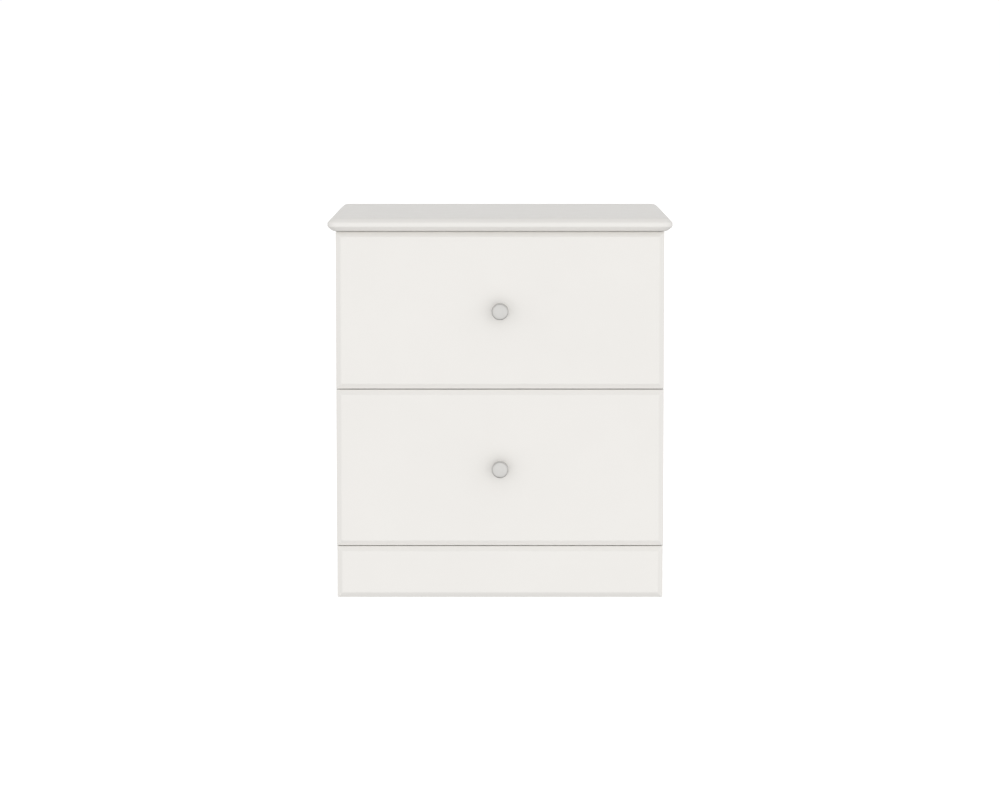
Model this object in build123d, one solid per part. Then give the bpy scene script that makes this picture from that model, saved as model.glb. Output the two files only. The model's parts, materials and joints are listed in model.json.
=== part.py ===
from build123d import *
import os
from math import sqrt

# Nightstand with two drawers: a board carcass under a moulded top, and two boxes on roller runners.
# Millimetres, X to the right, Y to the back, Z up, front towards -Y.
# The origin is on the floor, below the middle of the overall box.

# Overall sizes
OVERALL_HEIGHT = 500.0
TOP_WIDTH = 450.0
TOP_DEPTH = 410.0

# Moulded top
TOP_THICKNESS = 18.0
TOP_OVERHANG = 10.5
TOP_CORNER_RADIUS = 13.0
NOSE_HEIGHT = 5.4
NOSE_RADIUS = 3.2
SLOPE_WIDTH = 7.0
SLOPE_BLEND_RADIUS = 12.0

# Carcass boards
SIDE_THICKNESS = 15.0
BOTTOM_THICKNESS = 15.0
RAIL_THICKNESS = 15.0
RAIL_WIDTH = 80.0
BACK_THICKNESS = 3.0
BACK_INSET = 8.0
BACK_GROOVE_DEPTH = 6.0
BACK_EDGE_PLAY = 0.5
GROOVE_PLAY = 0.1

# Plinth
PLINTH_HEIGHT = 68.0
PLINTH_THICKNESS = 18.0
PLINTH_SETBACK = 0.5
PLINTH_BACK_THICKNESS = 15.0
BLOCK_LEG = 24.0
BLOCK_LENGTH = 40.0
BLOCK_WALL = 5.0
BLOCK_FROM_SIDE = 70.0

# Drawer fronts; the plinth has the same bevel
FRONT_THICKNESS = 18.0
FRONT_GAP = 1.0
TOP_GAP = 0.6
FRONT_BEVEL_WIDTH = 6.8
FRONT_BEVEL_DEPTH = 4.6
BUFFER_THICKNESS = 1.2
BUFFER_RADIUS = 4.0
BUFFER_BELOW_TOP = 40.0
BUFFER_GAP = 0.3

# Drawer boxes
BOX_THICKNESS = 12.0
BOX_RAISE = 18.0
BOX_BELOW_FRONT_TOP = 36.0
BOX_REAR_SPACE = 20.0
BOX_EDGE_RADIUS = 1.5
BOX_BOTTOM_THICKNESS = 3.0
BOX_GROOVE_RAISE = 10.0
BOX_GROOVE_DEPTH = 6.0

# Knobs
KNOB_RADIUS = 11.0
KNOB_PROJECTION = 24.0
KNOB_FOOT_RADIUS = 7.5
KNOB_NECK_RADIUS = 5.5
KNOB_NECK_LENGTH = 8.5
KNOB_HEAD_FLARE = 4.5
KNOB_DOME = 1.0
KNOB_RIM_RADIUS = 2.6
KNOB_FLARE_RADIUS = 1.6
KNOB_SCREW_RADIUS = 2.0
KNOB_SCREW_DEPTH = 10.0
KNOB_SCREW_HEAD_RADIUS = 4.2
KNOB_SCREW_HEAD_HEIGHT = 2.4
KNOB_HOLE_PLAY = 0.25

# Roller runners
RUNNER_SPACE = 12.5
SHEET = 1.2
BEND_RADIUS = 0.8
RUNNER_SETBACK = 2.0
RUNNER_DROP = 3.0
LIP_HEIGHT = 4.0
CAP_WIDTH = 9.0
RUN_GAP = 0.3
FRONT_ROLLER_LIFT = 0.5
CAP_GAP = 0.5
FLANGE_TIP_GAP = 1.0
FLANGE_END_GAP = 2.0
CAP_ENTRY = 40.0
STOP_SPACING = 56.0
STOP_RADIUS = 2.0
RUNNER_SCREW_START = 40.0
RUNNER_SCREW_END = 50.0
RUNNER_SCREWS = 3

# Rollers and their rivets
ROLLER_RADIUS = 9.0
ROLLER_FROM_END = 15.0
ROLLER_SIDE_GAP = 0.55
ROLLER_CHAMFER = 0.8
RIVET_RADIUS = 2.5
RIVET_HEAD_RADIUS = 4.5
RIVET_HEAD_HEIGHT = 0.9
RIVET_END_PLAY = 0.2
AXLE_PLAY = 0.08

# Dowels
DOWEL_RADIUS = 4.0
DOWEL_FACE_DEPTH = 10.0
DOWEL_END_DEPTH = 20.0
BOX_DOWEL_RADIUS = 3.0
BOX_DOWEL_FACE_DEPTH = 8.0
BOX_DOWEL_END_DEPTH = 17.0
DOWEL_HOLE_DEPTH_PLAY = 1.0
FIT = 0.05

# Cam fittings
CAM_RADIUS = 7.4
CAM_HEIGHT = 12.0
CAM_SETBACK = 24.0
CAM_SLOT_PLAY = 0.4
BOLT_THREAD_RADIUS = 2.5
BOLT_THREAD_DEPTH = 11.0
BOLT_BODY_RADIUS = 3.9
BOLT_BODY_LENGTH = 9.0
BOLT_NECK_RADIUS = 2.2
BOLT_HEAD_RADIUS = 3.2
BOLT_HEAD_LENGTH = 3.5

# Screws
SCREW_RADIUS = 1.75
SCREW_HEAD_RADIUS = 3.5
SCREW_POINT = 3.0
TOP_SCREW_LENGTH = 26.0
FRONT_SCREW_LENGTH = 25.0
BLOCK_SCREW_LENGTH = 16.0
RUNNER_SCREW_LENGTH = 11.0
BACK_SCREW_LENGTH = 20.0
BACK_SCREW_HEAD_HEIGHT = 1.8

# Spacing of the fixings from the ends of what they hold
FIXING_INSET = 45.0
RAIL_DOWEL_INSET = 20.0
BOX_FIXING_INSET = 32.0

# Places worked out from the sizes above
OVERALL_DEPTH = TOP_DEPTH + max(KNOB_PROJECTION - TOP_OVERHANG, 0.0)
BACK_Y = OVERALL_DEPTH / 2
NOSE_Y = BACK_Y - TOP_DEPTH
FRONT_Y = NOSE_Y + TOP_OVERHANG
BOX_Y = FRONT_Y + FRONT_THICKNESS
CARCASS_Y = BOX_Y + BUFFER_THICKNESS + BUFFER_GAP
BACK_PANEL_Y = BACK_Y - BACK_INSET - BACK_THICKNESS
BOX_BACK_Y = BACK_PANEL_Y - BOX_REAR_SPACE

BODY_HALF = TOP_WIDTH / 2 - TOP_OVERHANG
INNER_HALF = BODY_HALF - SIDE_THICKNESS
BOX_HALF = INNER_HALF - RUNNER_SPACE
BOX_INNER_HALF = BOX_HALF - BOX_THICKNESS

UNDER_TOP_Z = OVERALL_HEIGHT - TOP_THICKNESS
BOTTOM_Z = PLINTH_HEIGHT - BOTTOM_THICKNESS
RAIL_Z = UNDER_TOP_Z - RAIL_THICKNESS
FRONT_HEIGHT = (UNDER_TOP_Z - PLINTH_HEIGHT - 2 * FRONT_GAP - TOP_GAP) / 2
FRONT_Z = {
    "lower": PLINTH_HEIGHT + FRONT_GAP,
    "upper": PLINTH_HEIGHT + FRONT_HEIGHT + 2 * FRONT_GAP,
}

FRONT_ROLLER_Y = CARCASS_Y + RUNNER_SETBACK + ROLLER_FROM_END
REAR_ROLLER_Y = BOX_BACK_Y - ROLLER_FROM_END
DRAWER_TRAVEL = REAR_ROLLER_Y - FRONT_ROLLER_Y - STOP_SPACING

# Places across a runner, measured from the face of the side panel towards the drawer
DRAWER_WEB = RUNNER_SPACE - SHEET
LIP_OUTER = DRAWER_WEB - RUN_GAP
LIP_INNER = LIP_OUTER - SHEET
ROLLER_MIDDLE = (SHEET + DRAWER_WEB) / 2
ROLLER_HALF = LIP_INNER - ROLLER_SIDE_GAP - ROLLER_MIDDLE

# Heights in a runner, measured from the underside of the cabinet channel
TRACK = SHEET
FRONT_ROLLER_RISE = TRACK + FRONT_ROLLER_LIFT + ROLLER_RADIUS
REAR_ROLLER_RISE = TRACK + RUN_GAP + ROLLER_RADIUS
FLANGE_RISE = FRONT_ROLLER_RISE + ROLLER_RADIUS + RUN_GAP
CHANNEL_HEIGHT = FLANGE_RISE + SHEET + CAP_GAP + SHEET
CENTRE_BASE = (Align.CENTER, Align.CENTER, Align.MIN)


def board(x_span, y_span, z_span):
    """A rectangular board between two values of X, of Y and of Z."""
    sizes = [high - low for low, high in (x_span, y_span, z_span)]
    corner = Pos(x_span[0], y_span[0], z_span[0])
    return corner * Box(*sizes, align=(Align.MIN, Align.MIN, Align.MIN))


def rod(radius, low, high):
    """A round rod along Z between two heights."""
    return Pos(0, 0, low) * Cylinder(radius, high - low, align=CENTRE_BASE)


def turned(*outline):
    """A solid turned about Z from an outline of radius and height."""
    return revolve(Plane.XZ * make_face(Polyline(*outline, close=True)), Axis.Z)


def aimed(point, direction):
    """The place of a fixing at a point, with its Z along a direction."""
    return Plane(origin=point, z_dir=direction).location


def along_y(section, y_span):
    """A section drawn in X and Z, extruded between two values of Y."""
    low, high = y_span
    return Pos(0, low, 0) * extrude(Plane.XZ * section, amount=low - high)


def both_sides(piece):
    """A left-hand piece with its right-hand twin."""
    return {"left": piece, "right": mirror(piece, about=Plane.YZ)}


def drilled(piece, holes):
    """A piece less every hole that reaches into it."""
    space = piece.bounding_box()
    near = [hole for hole in holes if space.overlaps(hole.bounding_box())]
    return piece - near if near else piece


def save(node, solids):
    """Writes one node, a single solid or a group of like ones."""
    shape = Compound(children=list(solids)) if isinstance(solids, list) else solids
    export_step(shape, f"parts/{node}.step")


# Fixings, each with its mouth at height 0 and pointing along Z, and the holes that they fit
def wood_screw(length, play=0.0):
    """A countersunk screw, its head flush with the mouth."""
    head = SCREW_HEAD_RADIUS + play
    shank = SCREW_RADIUS + play
    end = length + play
    return turned((0, 0), (head, 0), (shank, head - shank), (shank, end - SCREW_POINT), (0, end))


def pan_screw(length, radius, head_radius, head_height):
    """A screw whose round head stands proud of the mouth."""
    return rod(head_radius, -head_height, 0) + rod(radius, 0, length)


def dowel(radius, face_depth, end_depth, play=0.0, depth_play=0.0):
    """A dowel across a joint, into a board's face below 0 and into another's end above 0."""
    return rod(radius + play, -face_depth - depth_play, end_depth + depth_play)


def cam_bolt():
    """A bolt screwed into a board's face, with the head that a cam draws in."""
    neck_end = CAM_SETBACK - BOLT_HEAD_LENGTH / 2
    return turned(
        (0, -BOLT_THREAD_DEPTH),
        (BOLT_THREAD_RADIUS, -BOLT_THREAD_DEPTH),
        (BOLT_THREAD_RADIUS, 0),
        (BOLT_BODY_RADIUS, 0),
        (BOLT_BODY_RADIUS, BOLT_BODY_LENGTH),
        (BOLT_NECK_RADIUS, BOLT_BODY_LENGTH),
        (BOLT_NECK_RADIUS, neck_end),
        (BOLT_HEAD_RADIUS, neck_end),
        (BOLT_HEAD_RADIUS, neck_end + BOLT_HEAD_LENGTH),
        (0, neck_end + BOLT_HEAD_LENGTH),
    )


def cam_bolt_hole():
    """The thread hole in the face and the bore along the end of the other board."""
    thread = rod(BOLT_THREAD_RADIUS + FIT, -BOLT_THREAD_DEPTH - DOWEL_HOLE_DEPTH_PLAY, 0)
    return thread + rod(BOLT_BODY_RADIUS + FIT, 0, CAM_SETBACK)


def cam_lock(bolt_height):
    """A round cam standing on height 0, slotted towards +X for the bolt's head."""
    half_slot = BOLT_HEAD_RADIUS + CAM_SLOT_PLAY
    slot = board(
        (-half_slot, 2 * CAM_RADIUS),
        (-half_slot, half_slot),
        (bolt_height - half_slot, bolt_height + half_slot),
    )
    return rod(CAM_RADIUS, 0, CAM_HEIGHT) - slot


# Carcass joints: where each fixing goes, shared by the fixings and by the boards that they hold
def board_end_joints(sign):
    """Cam and dowel places on one side, mouth on the side panel and pointing into the board's end."""
    inward = (-sign, 0, 0)
    x = sign * INNER_HALF
    bottom_z = BOTTOM_Z + BOTTOM_THICKNESS / 2
    rail_z = RAIL_Z + RAIL_THICKNESS / 2
    bottom_ys = (CARCASS_Y + FIXING_INSET, BACK_PANEL_Y - FIXING_INSET)
    rail_ys = (CARCASS_Y + RAIL_WIDTH / 2, BACK_PANEL_Y - RAIL_WIDTH / 2)
    cams = [(aimed((x, y, bottom_z), inward), BOTTOM_Z) for y in bottom_ys]
    cams += [(aimed((x, y, rail_z), inward), RAIL_Z) for y in rail_ys]
    middle = (CARCASS_Y + BACK_PANEL_Y) / 2
    dowels = [(x, bottom_ys[0] + FIXING_INSET, bottom_z), (x, middle, bottom_z)]
    dowels += [(x, bottom_ys[1] - FIXING_INSET, bottom_z)]
    dowels += [(x, y + turn * RAIL_DOWEL_INSET, rail_z) for y in rail_ys for turn in (-1, 1)]
    return cams, [aimed(point, inward) for point in dowels]


def carcass_dowel_places():
    """Every dowel of the carcass, mouth on the board whose face is bored."""
    places = []
    for sign in (-1, 1):
        places += board_end_joints(sign)[1]
        side_x = sign * (BODY_HALF - SIDE_THICKNESS / 2)
        past_rail = RAIL_WIDTH + RAIL_DOWEL_INSET
        for y in (CARCASS_Y + past_rail, BACK_PANEL_Y - past_rail):
            places.append(aimed((side_x, y, UNDER_TOP_Z), (0, 0, -1)))
        for z in (PLINTH_HEIGHT / 3, PLINTH_HEIGHT * 2 / 3):
            places.append(aimed((side_x, CARCASS_Y, z), (0, 1, 0)))
        rail_y = BACK_PANEL_Y - PLINTH_BACK_THICKNESS / 2
        places.append(aimed((sign * INNER_HALF, rail_y, BOTTOM_Z / 2), (-sign, 0, 0)))
    return places


def corner_block_places():
    """The corners between plinth, bottom panel and the two corner blocks."""
    reach = INNER_HALF - BLOCK_FROM_SIDE
    return [Pos(sign * reach, CARCASS_Y, BOTTOM_Z) for sign in (-1, 1)]


def carcass_screw_places():
    """Screws up through the rails into the top, and out of the corner blocks into their boards."""
    reach = INNER_HALF - FIXING_INSET
    ys = (CARCASS_Y + RAIL_WIDTH / 2, BACK_PANEL_Y - RAIL_WIDTH / 2)
    places = [(aimed((x, y, RAIL_Z), (0, 0, 1)), TOP_SCREW_LENGTH) for x in (-reach, reach) for y in ys]
    for corner in corner_block_places():
        middle = BLOCK_WALL + (BLOCK_LEG - BLOCK_WALL) / 2
        up = corner * aimed((-BLOCK_LENGTH / 4, middle, -BLOCK_WALL), (0, 0, 1))
        forward = corner * aimed((BLOCK_LENGTH / 4, BLOCK_WALL, -middle), (0, -1, 0))
        places += [(up, BLOCK_SCREW_LENGTH), (forward, BLOCK_SCREW_LENGTH)]
    return places


def back_screw_places():
    """Screws through the back panel into the rear rail and the bottom panel."""
    reach = INNER_HALF - FIXING_INSET
    heights = (BOTTOM_Z + BOTTOM_THICKNESS / 2, RAIL_Z + RAIL_THICKNESS / 2)
    y = BACK_PANEL_Y + BACK_THICKNESS
    return [aimed((x, y, z), (0, -1, 0)) for x in (-reach, 0, reach) for z in heights]


def runner_span(front_y):
    """The low and high Y of a runner whose box or carcass starts at a given Y."""
    return front_y + RUNNER_SETBACK, BOX_BACK_Y


def runner_screw_ys(front_y):
    """The even row of screws along a runner."""
    low, high = runner_span(front_y)
    first = low + RUNNER_SCREW_START
    step = (high - RUNNER_SCREW_END - first) / (RUNNER_SCREWS - 1)
    return [first + step * index for index in range(RUNNER_SCREWS)]


def channel_z(drawer):
    """The underside of a drawer's cabinet channels."""
    return FRONT_Z[drawer] + BOX_RAISE - RUNNER_DROP


def cabinet_runner_screw_places(drawer, sign):
    """Screws from a cabinet channel out into the side panel."""
    x = sign * (INNER_HALF - SHEET)
    z = channel_z(drawer) + CHANNEL_HEIGHT / 2
    return [aimed((x, y, z), (sign, 0, 0)) for y in runner_screw_ys(CARCASS_Y)]


def drawer_runner_screw_places(drawer, sign):
    """Screws from a drawer runner into the side of its box."""
    x = sign * (BOX_HALF + SHEET)
    z = FRONT_Z[drawer] + BOX_RAISE + BOX_GROOVE_RAISE - SCREW_HEAD_RADIUS
    return [aimed((x, y, z), (-sign, 0, 0)) for y in runner_screw_ys(BOX_Y)]


# Moulded top
def rim(panel, height):
    """The edges round a panel at one height, apart from the one along the back."""
    level = panel.edges().filter_by(lambda edge: abs(edge.center().Z - height) < FIT)
    flat = level.filter_by(lambda edge: edge.bounding_box().size.Z < FIT)
    return flat.filter_by(lambda edge: edge.center().Y < BACK_Y - FIT)


def top_panel():
    """The top with a pointed, rounded nose on its front and both sides, square at the back."""
    half = TOP_WIDTH / 2
    slope_height = (TOP_THICKNESS - NOSE_HEIGHT) / 2
    panel = board((-half, half), (NOSE_Y, BACK_Y), (UNDER_TOP_Z, OVERALL_HEIGHT))
    panel = fillet(panel.edges().filter_by(Axis.Z).sort_by(Axis.Y)[:2], TOP_CORNER_RADIUS)
    for height in (UNDER_TOP_Z, OVERALL_HEIGHT):
        face = panel.faces().filter_by(Axis.Z).sort_by(lambda face: abs(face.center().Z - height))[0]
        panel = chamfer(rim(panel, height), SLOPE_WIDTH, slope_height, reference=face)
    nose = rim(panel, UNDER_TOP_Z + slope_height) + rim(panel, OVERALL_HEIGHT - slope_height)
    panel = fillet(nose, NOSE_RADIUS)
    for height in (UNDER_TOP_Z, OVERALL_HEIGHT):
        panel = fillet(rim(panel, height), SLOPE_BLEND_RADIUS)
    return panel


# Other boards of the carcass
def bevelled(panel):
    """A board with the bevel of the drawer fronts round its front face."""
    face = panel.faces().sort_by(Axis.Y)[0]
    return chamfer(face.edges(), FRONT_BEVEL_WIDTH, FRONT_BEVEL_DEPTH, reference=face)


def back_groove(sign):
    """The groove for the back panel, all the way up one side panel."""
    x_span = sorted((sign * (INNER_HALF + BACK_GROOVE_DEPTH), sign * INNER_HALF))
    y_span = (BACK_PANEL_Y - GROOVE_PLAY, BACK_PANEL_Y + BACK_THICKNESS + GROOVE_PLAY)
    return board(x_span, y_span, (0, UNDER_TOP_Z))


def plinth_front():
    """The plinth board, bevelled all round its face."""
    half = BODY_HALF - PLINTH_SETBACK
    return bevelled(board((-half, half), (CARCASS_Y - PLINTH_THICKNESS, CARCASS_Y), (0, PLINTH_HEIGHT)))


def corner_block():
    """A moulded block: two plates at right angles with a rib at each end."""
    plates = Polyline(
        (0, 0), (BLOCK_LEG, 0), (BLOCK_LEG, -BLOCK_WALL), (BLOCK_WALL, -BLOCK_WALL),
        (BLOCK_WALL, -BLOCK_LEG), (0, -BLOCK_LEG), close=True,
    )
    rib = Polyline(
        (0, 0), (BLOCK_LEG, 0), (BLOCK_LEG, -BLOCK_WALL), (BLOCK_WALL, -BLOCK_LEG), (0, -BLOCK_LEG),
        close=True,
    )
    half = BLOCK_LENGTH / 2
    wall = BLOCK_WALL / 2
    block = extrude(Plane.YZ * make_face(plates), amount=half, both=True)
    for x in (-half, -wall / 2, half - wall):
        block += Pos(x, 0, 0) * extrude(Plane.YZ * make_face(rib), amount=wall)
    return block


def carcass_boards():
    """The boards of the carcass before they are drilled, by node."""
    inside = (-INNER_HALF, INNER_HALF)
    back_half = INNER_HALF + BACK_GROOVE_DEPTH - BACK_EDGE_PLAY
    boards = {
        "top_panel": top_panel(),
        "bottom_panel": board(inside, (CARCASS_Y, BACK_PANEL_Y), (BOTTOM_Z, PLINTH_HEIGHT)),
        "back_panel": board(
            (-back_half, back_half),
            (BACK_PANEL_Y, BACK_PANEL_Y + BACK_THICKNESS),
            (BOTTOM_Z, UNDER_TOP_Z),
        ),
        "plinth_front": plinth_front(),
        "plinth_back": board(inside, (BACK_PANEL_Y - PLINTH_BACK_THICKNESS, BACK_PANEL_Y), (0, BOTTOM_Z)),
        "front_top_rail": board(inside, (CARCASS_Y, CARCASS_Y + RAIL_WIDTH), (RAIL_Z, UNDER_TOP_Z)),
        "rear_top_rail": board(inside, (BACK_PANEL_Y - RAIL_WIDTH, BACK_PANEL_Y), (RAIL_Z, UNDER_TOP_Z)),
    }
    for name, sign in (("left", -1), ("right", 1)):
        x_span = sorted((sign * BODY_HALF, sign * INNER_HALF))
        panel = board(x_span, (CARCASS_Y, BACK_Y), (0, UNDER_TOP_Z))
        boards[f"{name}_side_panel"] = panel - back_groove(sign)
    return boards


def buffers():
    """Soft buffers on the front edges of the side panels, two for each drawer front."""
    x = BODY_HALF - SIDE_THICKNESS / 2
    heights = [FRONT_Z[drawer] + FRONT_HEIGHT - BUFFER_BELOW_TOP for drawer in FRONT_Z]
    points = [(sign * x, CARCASS_Y, z) for sign in (-1, 1) for z in heights]
    return [aimed(point, (0, -1, 0)) * rod(BUFFER_RADIUS, 0, BUFFER_THICKNESS) for point in points]


def build_carcass():
    """Writes the boards of the carcass and everything that fastens them."""
    cams = board_end_joints(-1)[0] + board_end_joints(1)[0]
    cam_locks, cam_holes = [], []
    for place, underside in cams:
        centre = (place * Pos(0, 0, CAM_SETBACK)).position
        stand = Pos(centre.X, centre.Y, underside) * Rot(0, 0, 180 if centre.X < 0 else 0)
        cam_locks.append(stand * cam_lock(centre.Z - underside))
        cam_holes.append(stand * rod(CAM_RADIUS + FIT, 0, CAM_HEIGHT + FIT))
    dowel_sizes = (DOWEL_RADIUS, DOWEL_FACE_DEPTH, DOWEL_END_DEPTH)
    dowels = [place * dowel(*dowel_sizes) for place in carcass_dowel_places()]
    dowel_holes = [
        place * dowel(*dowel_sizes, FIT, DOWEL_HOLE_DEPTH_PLAY) for place in carcass_dowel_places()
    ]
    screws = [place * wood_screw(length) for place, length in carcass_screw_places()]
    screw_holes = [place * wood_screw(length, FIT) for place, length in carcass_screw_places()]
    back_screw = pan_screw(BACK_SCREW_LENGTH, SCREW_RADIUS, SCREW_HEAD_RADIUS, BACK_SCREW_HEAD_HEIGHT)
    back_hole = rod(SCREW_RADIUS + FIT, 0, BACK_SCREW_LENGTH + FIT)
    back_holes = [place * back_hole for place in back_screw_places()]
    runner_places = []
    for drawer in FRONT_Z:
        runner_places += cabinet_runner_screw_places(drawer, -1) + cabinet_runner_screw_places(drawer, 1)
    runner_holes = [place * wood_screw(RUNNER_SCREW_LENGTH, FIT) for place in runner_places]
    bolt_holes = [place * cam_bolt_hole() for place, _ in cams]

    holes = cam_holes + bolt_holes + dowel_holes + screw_holes + back_holes + runner_holes
    for node, piece in carcass_boards().items():
        save(node, drilled(piece, holes))
    blocks = [place * corner_block() for place in corner_block_places()]
    save("plinth_corner_blocks", [drilled(block, screw_holes) for block in blocks])
    save("carcass_dowels", dowels)
    save("cam_locks", cam_locks)
    save("cam_bolts", [place * cam_bolt() for place, _ in cams])
    save("carcass_screws", screws)
    save("back_panel_screws", [place * back_screw for place in back_screw_places()])
    save("drawer_buffers", buffers())
    save("cabinet_runner_screws", [place * wood_screw(RUNNER_SCREW_LENGTH) for place in runner_places])


# Roller runners, drawn for the left-hand side
def bent_sheet(points, radii, side, y_span):
    """A length of bent sheet, from the line along one of its faces."""
    with BuildSketch() as section:
        with BuildLine():
            FilletPolyline(*points, radius=radii)
            offset(amount=SHEET, side=side)
        make_face()
    return along_y(section.sketch, y_span)


def cabinet_runner(drawer):
    """The channel on the side panel, its track, stop rib and cap."""
    x = -INNER_HALF
    z = channel_z(drawer)
    outer_bend = BEND_RADIUS + SHEET
    y_span = runner_span(CARCASS_Y)
    points = [
        (x + LIP_OUTER, z + LIP_HEIGHT),
        (x + LIP_OUTER, z),
        (x, z),
        (x, z + CHANNEL_HEIGHT),
        (x + CAP_WIDTH, z + CHANNEL_HEIGHT),
    ]
    runner = bent_sheet(points, [outer_bend] * 3, Side.RIGHT, y_span)
    entry = board(
        (x + SHEET, x + RUNNER_SPACE),
        (y_span[0], FRONT_ROLLER_Y + CAP_ENTRY),
        (z + CHANNEL_HEIGHT - SHEET, z + CHANNEL_HEIGHT),
    )
    stop_reach = sqrt((ROLLER_RADIUS + STOP_RADIUS) ** 2 - (ROLLER_RADIUS + RUN_GAP) ** 2)
    stop_y = REAR_ROLLER_Y - DRAWER_TRAVEL - stop_reach - RUN_GAP
    stop = aimed((x + SHEET, stop_y, z + TRACK), (1, 0, 0)) * rod(STOP_RADIUS, 0, LIP_INNER - SHEET)
    above_track = board(
        (x, x + RUNNER_SPACE),
        (stop_y - STOP_RADIUS, stop_y + STOP_RADIUS),
        (z + TRACK, z + TRACK + STOP_RADIUS),
    )
    return runner - entry + (stop & above_track)


def drawer_runner(drawer):
    """The angle under a box's side, with the flange that rides on the cabinet's roller."""
    x = -INNER_HALF
    z = FRONT_Z[drawer] + BOX_RAISE
    flange_top = channel_z(drawer) + FLANGE_RISE + SHEET
    low, high = runner_span(BOX_Y)
    points = [
        (x + RUNNER_SPACE + BOX_THICKNESS, z),
        (x + RUNNER_SPACE, z),
        (x + RUNNER_SPACE, flange_top),
        (x + SHEET + FLANGE_TIP_GAP, flange_top),
    ]
    runner = bent_sheet(points, [BEND_RADIUS, BEND_RADIUS + SHEET], Side.LEFT, (low, high))
    roller_room = board(
        (x, x + DRAWER_WEB),
        (REAR_ROLLER_Y - ROLLER_RADIUS - FLANGE_END_GAP, high),
        (flange_top - SHEET - BEND_RADIUS, flange_top),
    )
    return runner - roller_room


def roller():
    """A roller about Z with a bore that runs on its rivet."""
    wheel = rod(ROLLER_RADIUS, -ROLLER_HALF, ROLLER_HALF)
    wheel = chamfer(wheel.edges().filter_by(GeomType.CIRCLE), ROLLER_CHAMFER)
    return wheel - rod(RIVET_RADIUS + AXLE_PLAY, -ROLLER_HALF, ROLLER_HALF)


def rivet(root):
    """A rivet about Z, from its root in a web, through a roller at height 0, to its head."""
    seat = ROLLER_HALF + RIVET_END_PLAY
    return rod(RIVET_RADIUS, -root, seat) + rod(RIVET_HEAD_RADIUS, seat, seat + RIVET_HEAD_HEIGHT)


def build_runners(drawer):
    """Writes a drawer's runners with their rollers and returns the rivets of both kinds."""
    z = channel_z(drawer)
    x = -INNER_HALF + ROLLER_MIDDLE
    front_axle = aimed((x, FRONT_ROLLER_Y, z + FRONT_ROLLER_RISE), (1, 0, 0))
    rear_axle = aimed((x, REAR_ROLLER_Y, z + REAR_ROLLER_RISE), (-1, 0, 0))
    cabinet_root = ROLLER_MIDDLE
    drawer_root = RUNNER_SPACE - ROLLER_MIDDLE
    rivet_hole = rod(RIVET_RADIUS + FIT, -RUNNER_SPACE, 0)
    screw_hole = wood_screw(RUNNER_SCREW_LENGTH, FIT)
    cabinet_holes = [place * screw_hole for place in cabinet_runner_screw_places(drawer, -1)]
    cabinet_holes.append(front_axle * rivet_hole)
    drawer_holes = [place * screw_hole for place in drawer_runner_screw_places(drawer, -1)]
    drawer_holes.append(rear_axle * rivet_hole)
    pieces = {
        "cabinet_runner": drilled(cabinet_runner(drawer), cabinet_holes),
        "drawer_runner": drilled(drawer_runner(drawer), drawer_holes),
        "front_roller": front_axle * roller(),
        "rear_roller": rear_axle * roller(),
    }
    for kind, piece in pieces.items():
        for side, hand in both_sides(piece).items():
            save(f"{drawer}_{side}_{kind}", hand)
    cabinet_rivets = list(both_sides(front_axle * rivet(cabinet_root)).values())
    drawer_rivets = list(both_sides(rear_axle * rivet(drawer_root)).values())
    save(f"{drawer}_drawer_roller_rivets", drawer_rivets)
    return cabinet_rivets


# Drawers
def drawer_front(drawer):
    """The front board, bevelled all round its face."""
    z = FRONT_Z[drawer]
    return bevelled(board((-BODY_HALF, BODY_HALF), (FRONT_Y, BOX_Y), (z, z + FRONT_HEIGHT)))


def knob():
    """A turned knob about Z, standing on height 0: foot, neck, flared head and domed face."""
    flare = (KNOB_RADIUS, KNOB_NECK_LENGTH + KNOB_HEAD_FLARE)
    brow = (KNOB_RADIUS, KNOB_PROJECTION - KNOB_DOME)
    dome_radius = (KNOB_RADIUS**2 + KNOB_DOME**2) / (2 * KNOB_DOME)
    with BuildSketch() as profile:
        with BuildLine():
            RadiusArc((0, KNOB_PROJECTION), brow, dome_radius)
            Polyline(brow, flare, (KNOB_NECK_RADIUS, KNOB_NECK_LENGTH), (KNOB_FOOT_RADIUS, 0), (0, 0))
            Line((0, 0), (0, KNOB_PROJECTION))
        make_face()
        for corner, radius in ((brow, KNOB_RIM_RADIUS), (flare, KNOB_FLARE_RADIUS)):
            fillet(profile.vertices().sort_by_distance((*corner, 0))[0], radius)
    return revolve(Plane.XZ * profile.sketch, Axis.Z)


def box_span(drawer):
    """The low and high Z of a drawer's box."""
    z = FRONT_Z[drawer]
    return z + BOX_RAISE, z + FRONT_HEIGHT - BOX_BELOW_FRONT_TOP


def box_bottom_panel(drawer, play=0.0):
    """The thin bottom panel, or with play the groove round the box that takes it."""
    half = BOX_INNER_HALF + BOX_GROOVE_DEPTH - BACK_EDGE_PLAY + play
    reach = BOX_THICKNESS - BOX_GROOVE_DEPTH + BACK_EDGE_PLAY - play
    z = box_span(drawer)[0] + BOX_GROOVE_RAISE
    groove = GROOVE_PLAY if play else 0.0
    return board(
        (-half, half),
        (BOX_Y + reach, BOX_BACK_Y - reach),
        (z - groove, z + BOX_BOTTOM_THICKNESS + groove),
    )


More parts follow.
